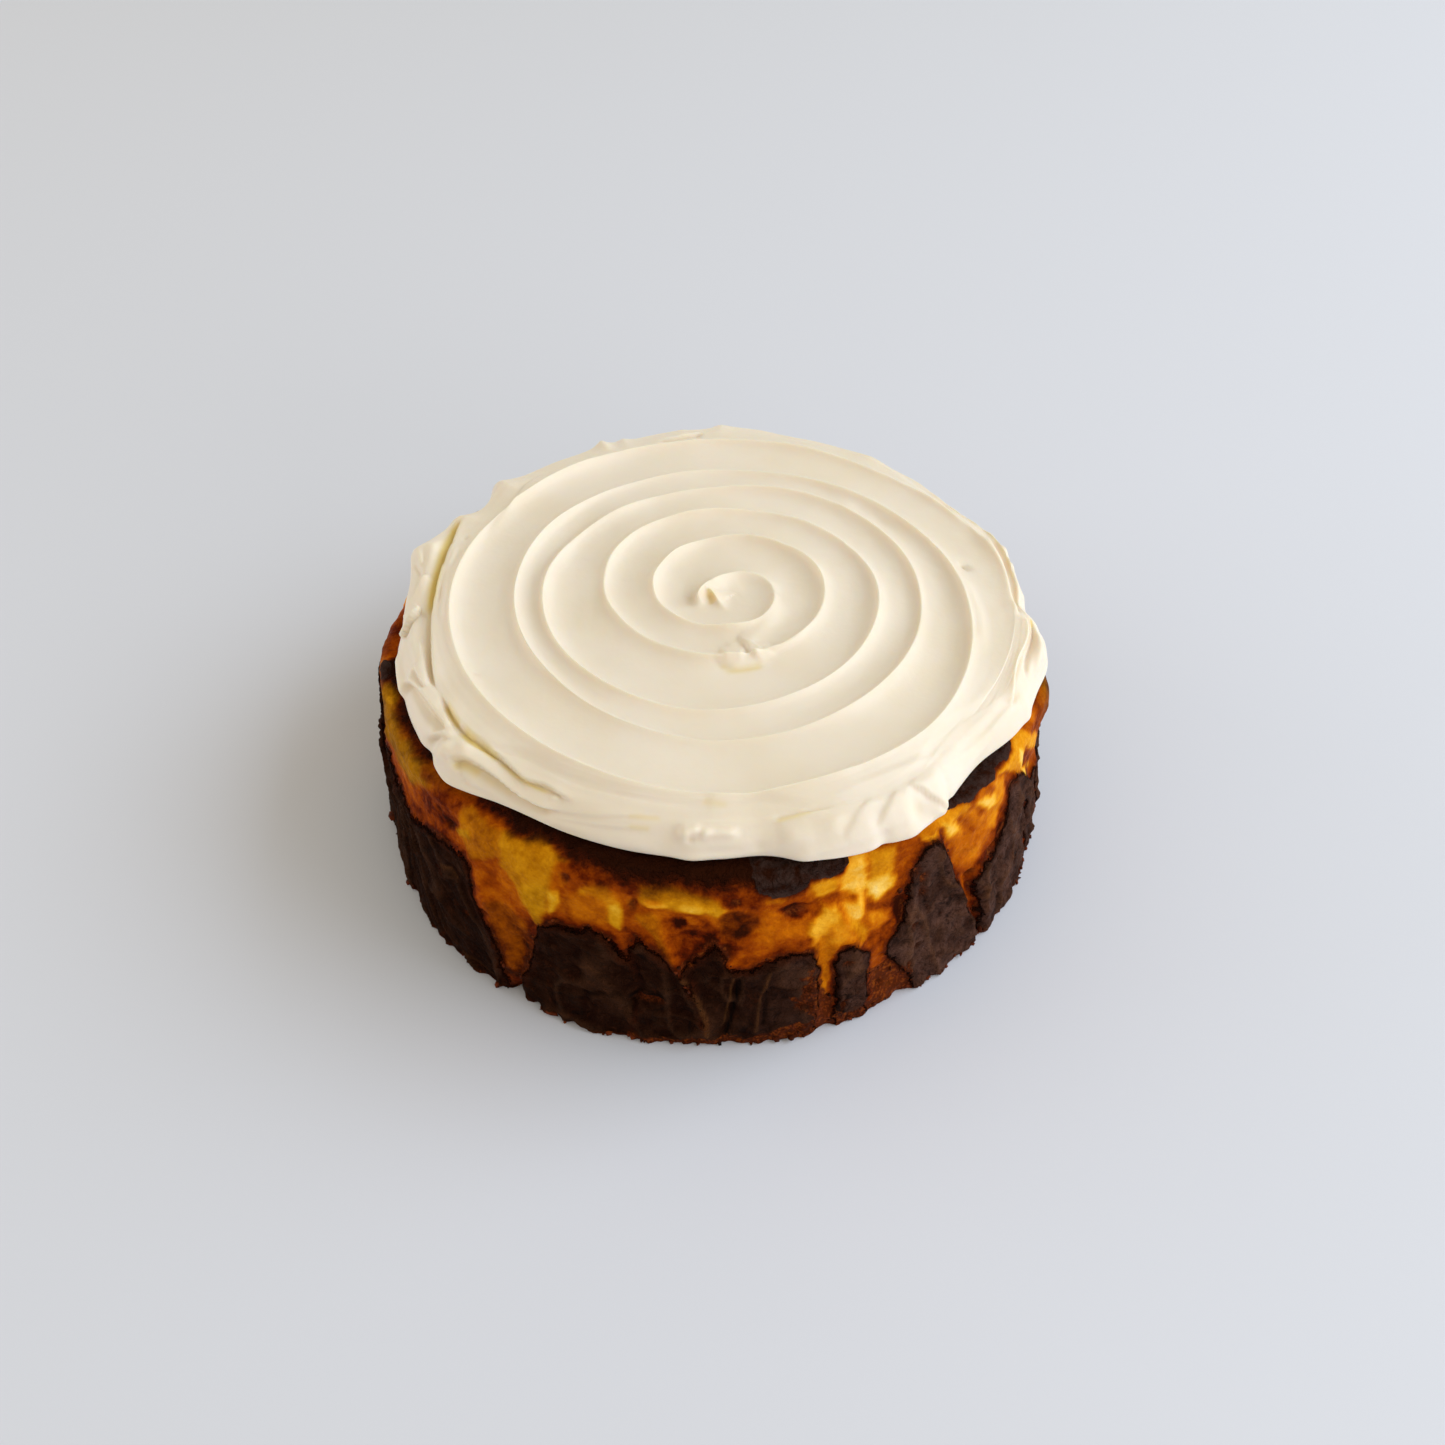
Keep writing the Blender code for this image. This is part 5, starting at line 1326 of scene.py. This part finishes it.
def cream_points():
    """Angle, radius and ridge height of every point of the flat top, the faces between them, and the
    points round its edge and round the middle."""
    turn, last = CREAM_COLUMNS, RIDGE_STEPS
    first_fine = last - turn
    keys, number, faces = [], {}, []

    def point(step, row, rows):
        """Number of the point in half steps along the ridge, so many rows out from it."""
        if row == rows:
            step, row = step + 2 * turn, 0
        if step <= -2 * turn:
            step, row = 0, 0
        if step >= 2 * last:
            step, row = 2 * last + (step - 2 * last) % (2 * turn), 0
        key = (step, row / rows)
        if key not in number:
            number[key] = len(keys)
            keys.append(key)
        return number[key]

    def cover(corners):
        """Add the face over corners, some of which may be one."""
        corners = list(dict.fromkeys(corners))
        if len(corners) > 2:
            faces.append(corners)

    for step in range(-turn, first_fine):
        for row in range(BAND_ROWS):
            corners = [point(2 * step, row, BAND_ROWS), point(2 * step + 2, row, BAND_ROWS)]
            if step + 1 == first_fine:
                corners.append(point(2 * step + 2, 2 * row + 1, 2 * BAND_ROWS))
            corners.append(point(2 * step + 2, row + 1, BAND_ROWS))
            if step + turn >= first_fine and row + 1 == BAND_ROWS:
                corners.append(point(2 * step + 1 + 2 * turn, 0, BAND_ROWS))
            cover(corners + [point(2 * step, row + 1, BAND_ROWS)])
    for half in range(2 * first_fine, 2 * last):
        for row in range(2 * BAND_ROWS):
            cover([point(half, row, 2 * BAND_ROWS), point(half + 1, row, 2 * BAND_ROWS),
                   point(half + 1, row + 1, 2 * BAND_ROWS), point(half, row + 1, 2 * BAND_ROWS)])

    # each point's place between the ridge's crests on its two sides
    step, share = (np.array(values) for values in zip(*keys))
    step = step / 2.0
    share = share - BAND_CLUSTER * np.sin(2.0 * math.pi * share)
    band = np.where(step >= last, 0.0, crest_radius(step + turn) - crest_radius(step))
    inner = ridge_hill(band * share, RIDGE_FALL_OUT) * ridge_height(step)
    outer = ridge_hill(band * (1.0 - share), RIDGE_FALL_IN) * ridge_height(step + turn)
    ridge = np.where(step >= last, 0.0, inner + outer)
    edge = [number[(2 * last + i, 0.0)] for i in range(2 * turn)]
    hub = [number[(2 * s, 0.0)] for s in range(1 - turn, 1)]
    return RIDGE_START - step * 360.0 / turn, crest_radius(step) + band * share, ridge, faces, edge, hub


def crest_line(crest, x, y):
    """Distance to a drawn crest, the share of its length at the nearest place, and its height there."""
    line = smooth_line(crest, CREST_PARTS)
    off, along = beside_line(line, x, y)
    return off, along, np.interp(along, np.linspace(0.0, 1.0, len(line)), line[:, 2])


def peak_rise(x, y):
    """Height of the peak, of the crest that runs from it into the ridge and of its edge in front."""
    off, along, height = crest_line(PEAK_CREST, x, y)
    fall = np.where(off > 0.0, read_along(PEAK_FALL_LEFT, along), read_along(PEAK_FALL_RIGHT, along))
    crest = height * np.exp(-from_crest(off, 0.35) / fall)
    off, along, height = crest_line(PEAK_EDGE, x, y)
    fall = np.where(off > 0.0, read_along(EDGE_FALL_LEFT, along), EDGE_FALL_RIGHT)
    front = height * np.exp(-from_crest(off, 0.25) / fall)
    mound = bump(x, 1.0, 6.0) * bump(y, -1.0, 5.0)
    return np.maximum(crest, front) + 0.35 * mound


def strip(outer, inner):
    """Faces between two rings of points."""
    return [list(corners) for corners in zip(outer, outer[1:] + outer[:1], inner[1:] + inner[:1], inner)]


def fan(ring, hub):
    """Faces from a ring of points to one in the middle."""
    return [[here, after, hub] for here, after in zip(ring, ring[1:] + ring[:1])]


angle, radius, ridge, faces, edge, hub = cream_points()
edge_angle = angle[edge]
rows = [(angle, radius, 0.0 * angle, ridge)]
count = len(angle)

# the middle of the top
rings = [hub]
for i in range(1, HUB_ROWS):
    rows.append((angle[hub], radius[hub] * (1.0 - i / HUB_ROWS), 0.0 * angle[hub], 0.0 * angle[hub]))
    rings.append(list(range(count, count + len(hub))))
    count += len(hub)
for outer, inner in zip(rings, rings[1:]):
    faces += strip(outer, inner)
faces += fan(rings[-1], count)
rows.append((np.zeros(1), np.zeros(1), np.zeros(1), np.zeros(1)))
count += 1

# the side bends down from the edge of the top to the foot
rings = [edge]
for i in range(1, SIDE_ROWS + 1):
    rows.append((edge_angle, radius[edge], 0.0 * edge_angle + i / SIDE_ROWS, 0.0 * edge_angle))
    rings.append(list(range(count, count + len(edge))))
    count += len(edge)
angle, radius, down, ridge = (np.concatenate(values) for values in zip(*rows))
foot = foot_radius(angle)
bend = np.radians(90.0 * down)
across, upright = np.sin(bend), np.cos(bend)
on_side = down > 0.0
tips_out, tips_up = np.zeros_like(angle), np.zeros_like(angle)
for centre, half_width, reach, rise in EDGE_TIPS:
    hill = np.exp(-np.abs(angle_from(angle, centre) / half_width) ** TIP_SHARPNESS)
    tips_out += reach * hill
    tips_up += rise * hill
side_length = 0.5 * math.pi * np.sqrt(((foot - radius) ** 2 + (CREAM_LEVEL - CREAM_FOOT) ** 2) / 2.0)
spread = radius + down * side_length
relief, fold_shade, yellow = cream_relief(angle, spread)
x, y = level_place(angle, radius)
peak = np.where(np.hypot(x, y) < PEAK_REACH, peak_rise(x, y), 0.0)

# the level of the top
top_edge = top_radius(angle)
near_edge = np.clip(1.0 - (top_edge - radius) / EDGE_SLOPE, 0.0, 1.0)
fall = tips_up * bump(np.minimum(radius, top_edge), top_edge, 5.0) - near_edge ** 2
ridge = ridge * ease(top_edge - radius, 0.0, 3.0)
top = CREAM_LEVEL + np.where(on_side, tips_up - 1.0, np.maximum(ridge, peak) + fall)

# what stands out from the top and the side
streak = 0.07 * grain(angle, radius * 3.0, *KNIFE_STREAKS)
streak = streak + 0.03 * grain(angle, radius * 3.0, *FINE_STREAKS)
swell = 0.22 * grain(angle, spread, *SWELLS)
strokes = 0.32 * grain(angle, spread + 0.05 * angle_from(angle, 0.0), *SIDE_STROKES)
side_wave = (strokes + 0.30 * grain(angle, spread, *SIDE_WAVES)) * ease(down, 0.0, 0.25)
push = relief + (streak + swell) * ease(radius, 14.0, 30.0) * (1.0 - 0.5 * across) + side_wave
push = push * (1.0 - ease(down, 0.8, 1.0))

out = radius + (foot - radius) * across ** EDGE_ROUND * on_side
out = out + tips_out * np.sin(2.0 * bend) ** 2 + push * across
level = CREAM_FOOT + (top - CREAM_FOOT) * upright ** EDGE_ROUND + push * upright
beyond = np.maximum(out - radius - tips_out, 0.0) * on_side
level = level - 0.2 * beyond * np.exp(-beyond / 2.5) * (1.0 - ease(down, 0.6, 1.0))
x, y = level_place(angle, out)
hooked = np.clip((peak - 1.5) / 3.0, 0.0, 1.0) ** 2 * PEAK_HOOK
places = [np.stack([x - hooked, y - 0.5 * hooked, level], axis=-1)]

# it tucks in under itself to lie on the burnt top
foot = out[rings[-1]]
under = [(foot - inwards, lower) for inwards, lower in TUCKS]
under.append((0.0 * foot + UNDERSIDE_HUB, UNDERSIDE_LEVEL))
for radius_in, level_in in under:
    x, y = level_place(edge_angle, radius_in)
    places.append(np.stack([x, y, 0.0 * x + level_in], axis=-1))
    rings.append(list(range(count, count + len(edge))))
    count += len(edge)
for upper, lower in zip(rings, rings[1:]):
    faces += strip(upper, lower)
faces += fan(rings[-1], count)
places.append([[0.0, 0.0, UNDERSIDE_LEVEL]])
points = np.concatenate(places)
points[:, :2] += AXIS_OFFSET

cream_mesh = bpy.data.meshes.new("spread_cream")
cream_mesh.from_pydata((points * MM).tolist(), [], faces)
shell = bmesh.new()
shell.from_mesh(cream_mesh)
bmesh.ops.recalc_face_normals(shell, faces=shell.faces)
shell.to_mesh(cream_mesh)
shell.free()
cream_mesh.shade_smooth()
# painted shade: yellow in the folds, crevices and hollows
store(cream_mesh, "fold_shade", np.clip(np.maximum(fold_shade * 0.3, yellow), 0.0, 1.0))

CREAM_PALE = (0.86, 0.740, 0.636)
CREAM_WARM = (0.84, 0.712, 0.586)
# painted shade: the warm yellow of the folds' shade
CREAM_FOLD_SHADE = (0.80, 0.60, 0.19)


def cream_finish():
    """Smooth, softly glossy cream, a little translucent, with yellow painted shade where it is folded in on
    itself.
    """
    whipped = Finish("whipped cream cheese")
    cloudy, fluffy = whipped.noise(22.0, 3.0), whipped.noise(1.6, 3.0, 0.5)
    colour = whipped.stain(CREAM_PALE, CREAM_WARM, cloudy, 0.35, 0.7)
    # painted shade: yellow in the folds
    colour = whipped.stain(colour, CREAM_FOLD_SHADE, whipped.field("fold_shade"), 0.0, 1.0, 0.9)
    return whipped.done({
        "Base Color": colour, "Roughness": whipped.span(fluffy, 0.3, 0.7, 0.42, 0.52),
        "Specular IOR Level": 0.3, "Subsurface Weight": 0.5, "Subsurface Radius": (1.0, 0.75, 0.45),
        "Subsurface Scale": 0.0025, "Normal": whipped.relief(fluffy, 0.12, 0.35)})


spread_cream = place_piece(cream_mesh, cream_finish())
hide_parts("cream")
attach(spread_cream, "root")


# =========================================================================================================
# The floor, the light and the camera: a plain pale floor, lit softly by a large window at the right and
# two smaller ones, and seen from in front and above.
# =========================================================================================================

FLOOR_HALF = 6.0
FLOOR_COLOUR = (0.70, 0.692, 0.79)
ROOM_COLOUR = (1.0, 0.945, 0.72, 1.0)
ROOM_STRENGTH = 0.55
AIM = (0.0, 0.0, 0.04)

floor_mesh = bpy.data.meshes.new("floor")
floor_mesh.from_pydata([(-FLOOR_HALF, -FLOOR_HALF, 0.0), (FLOOR_HALF, -FLOOR_HALF, 0.0),
                        (FLOOR_HALF, FLOOR_HALF, 0.0), (-FLOOR_HALF, FLOOR_HALF, 0.0)], [], [(0, 1, 2, 3)])
floor = place_piece(floor_mesh, Finish("pale floor").done({"Base Color": FLOOR_COLOUR, "Roughness": 0.6}))

world = bpy.data.worlds.new("room")
world.use_nodes = True
world.node_tree.nodes["Background"].inputs["Color"].default_value = ROOM_COLOUR
world.node_tree.nodes["Background"].inputs["Strength"].default_value = ROOM_STRENGTH
bpy.context.scene.world = world


def window(name, place, size, power, colour):
    """A large soft lamp that shines on the cake."""
    lamp = bpy.data.lights.new(name, "AREA")
    lamp.shape = "RECTANGLE"
    lamp.size, lamp.size_y = size
    lamp.energy = power
    lamp.color = colour
    thing = bpy.data.objects.new(name, lamp)
    bpy.context.scene.collection.objects.link(thing)
    thing.location = place
    thing.rotation_euler = (Vector(AIM) - Vector(place)).to_track_quat("-Z", "Y").to_euler()


window("window", (1.84, 0.10, 1.52), (2.4, 1.6), 48.0, (0.76, 0.895, 1.0))
window("window on the left", (-1.9, 0.3, 0.34), (1.6, 0.6), 12.5, (0.92, 0.97, 1.0))
window("window in front", (1.3, -1.5, 0.50), (1.6, 0.7), 10.0, (0.90, 0.96, 1.0))

CAMERA_PLACE = (0.00474, -0.29918, 0.32587)
CAMERA_DOWN = 45.5636
CAMERA_YAW = 0.3653
CAMERA_ROLL = -0.3901
PICTURE_SIDE = 1445.0
FOCAL_PIXELS = 1429.5928
SENSOR = 36.0
lens = bpy.data.cameras.new("camera")
lens.sensor_width = SENSOR
lens.lens = FOCAL_PIXELS * SENSOR / PICTURE_SIDE
lens.clip_start, lens.clip_end = 0.01, 50.0
camera = bpy.data.objects.new("camera", lens)
bpy.context.scene.collection.objects.link(camera)
down, yaw, roll = (math.radians(a) for a in (CAMERA_DOWN, CAMERA_YAW, CAMERA_ROLL))
camera.matrix_world = (Matrix.Translation(CAMERA_PLACE) @ Matrix.Rotation(yaw, 4, "Z")
                       @ Matrix.Rotation(math.pi / 2.0 - down, 4, "X") @ Matrix.Rotation(roll, 4, "Z"))
bpy.context.scene.camera = camera
bpy.context.scene.view_settings.view_transform = "Standard"
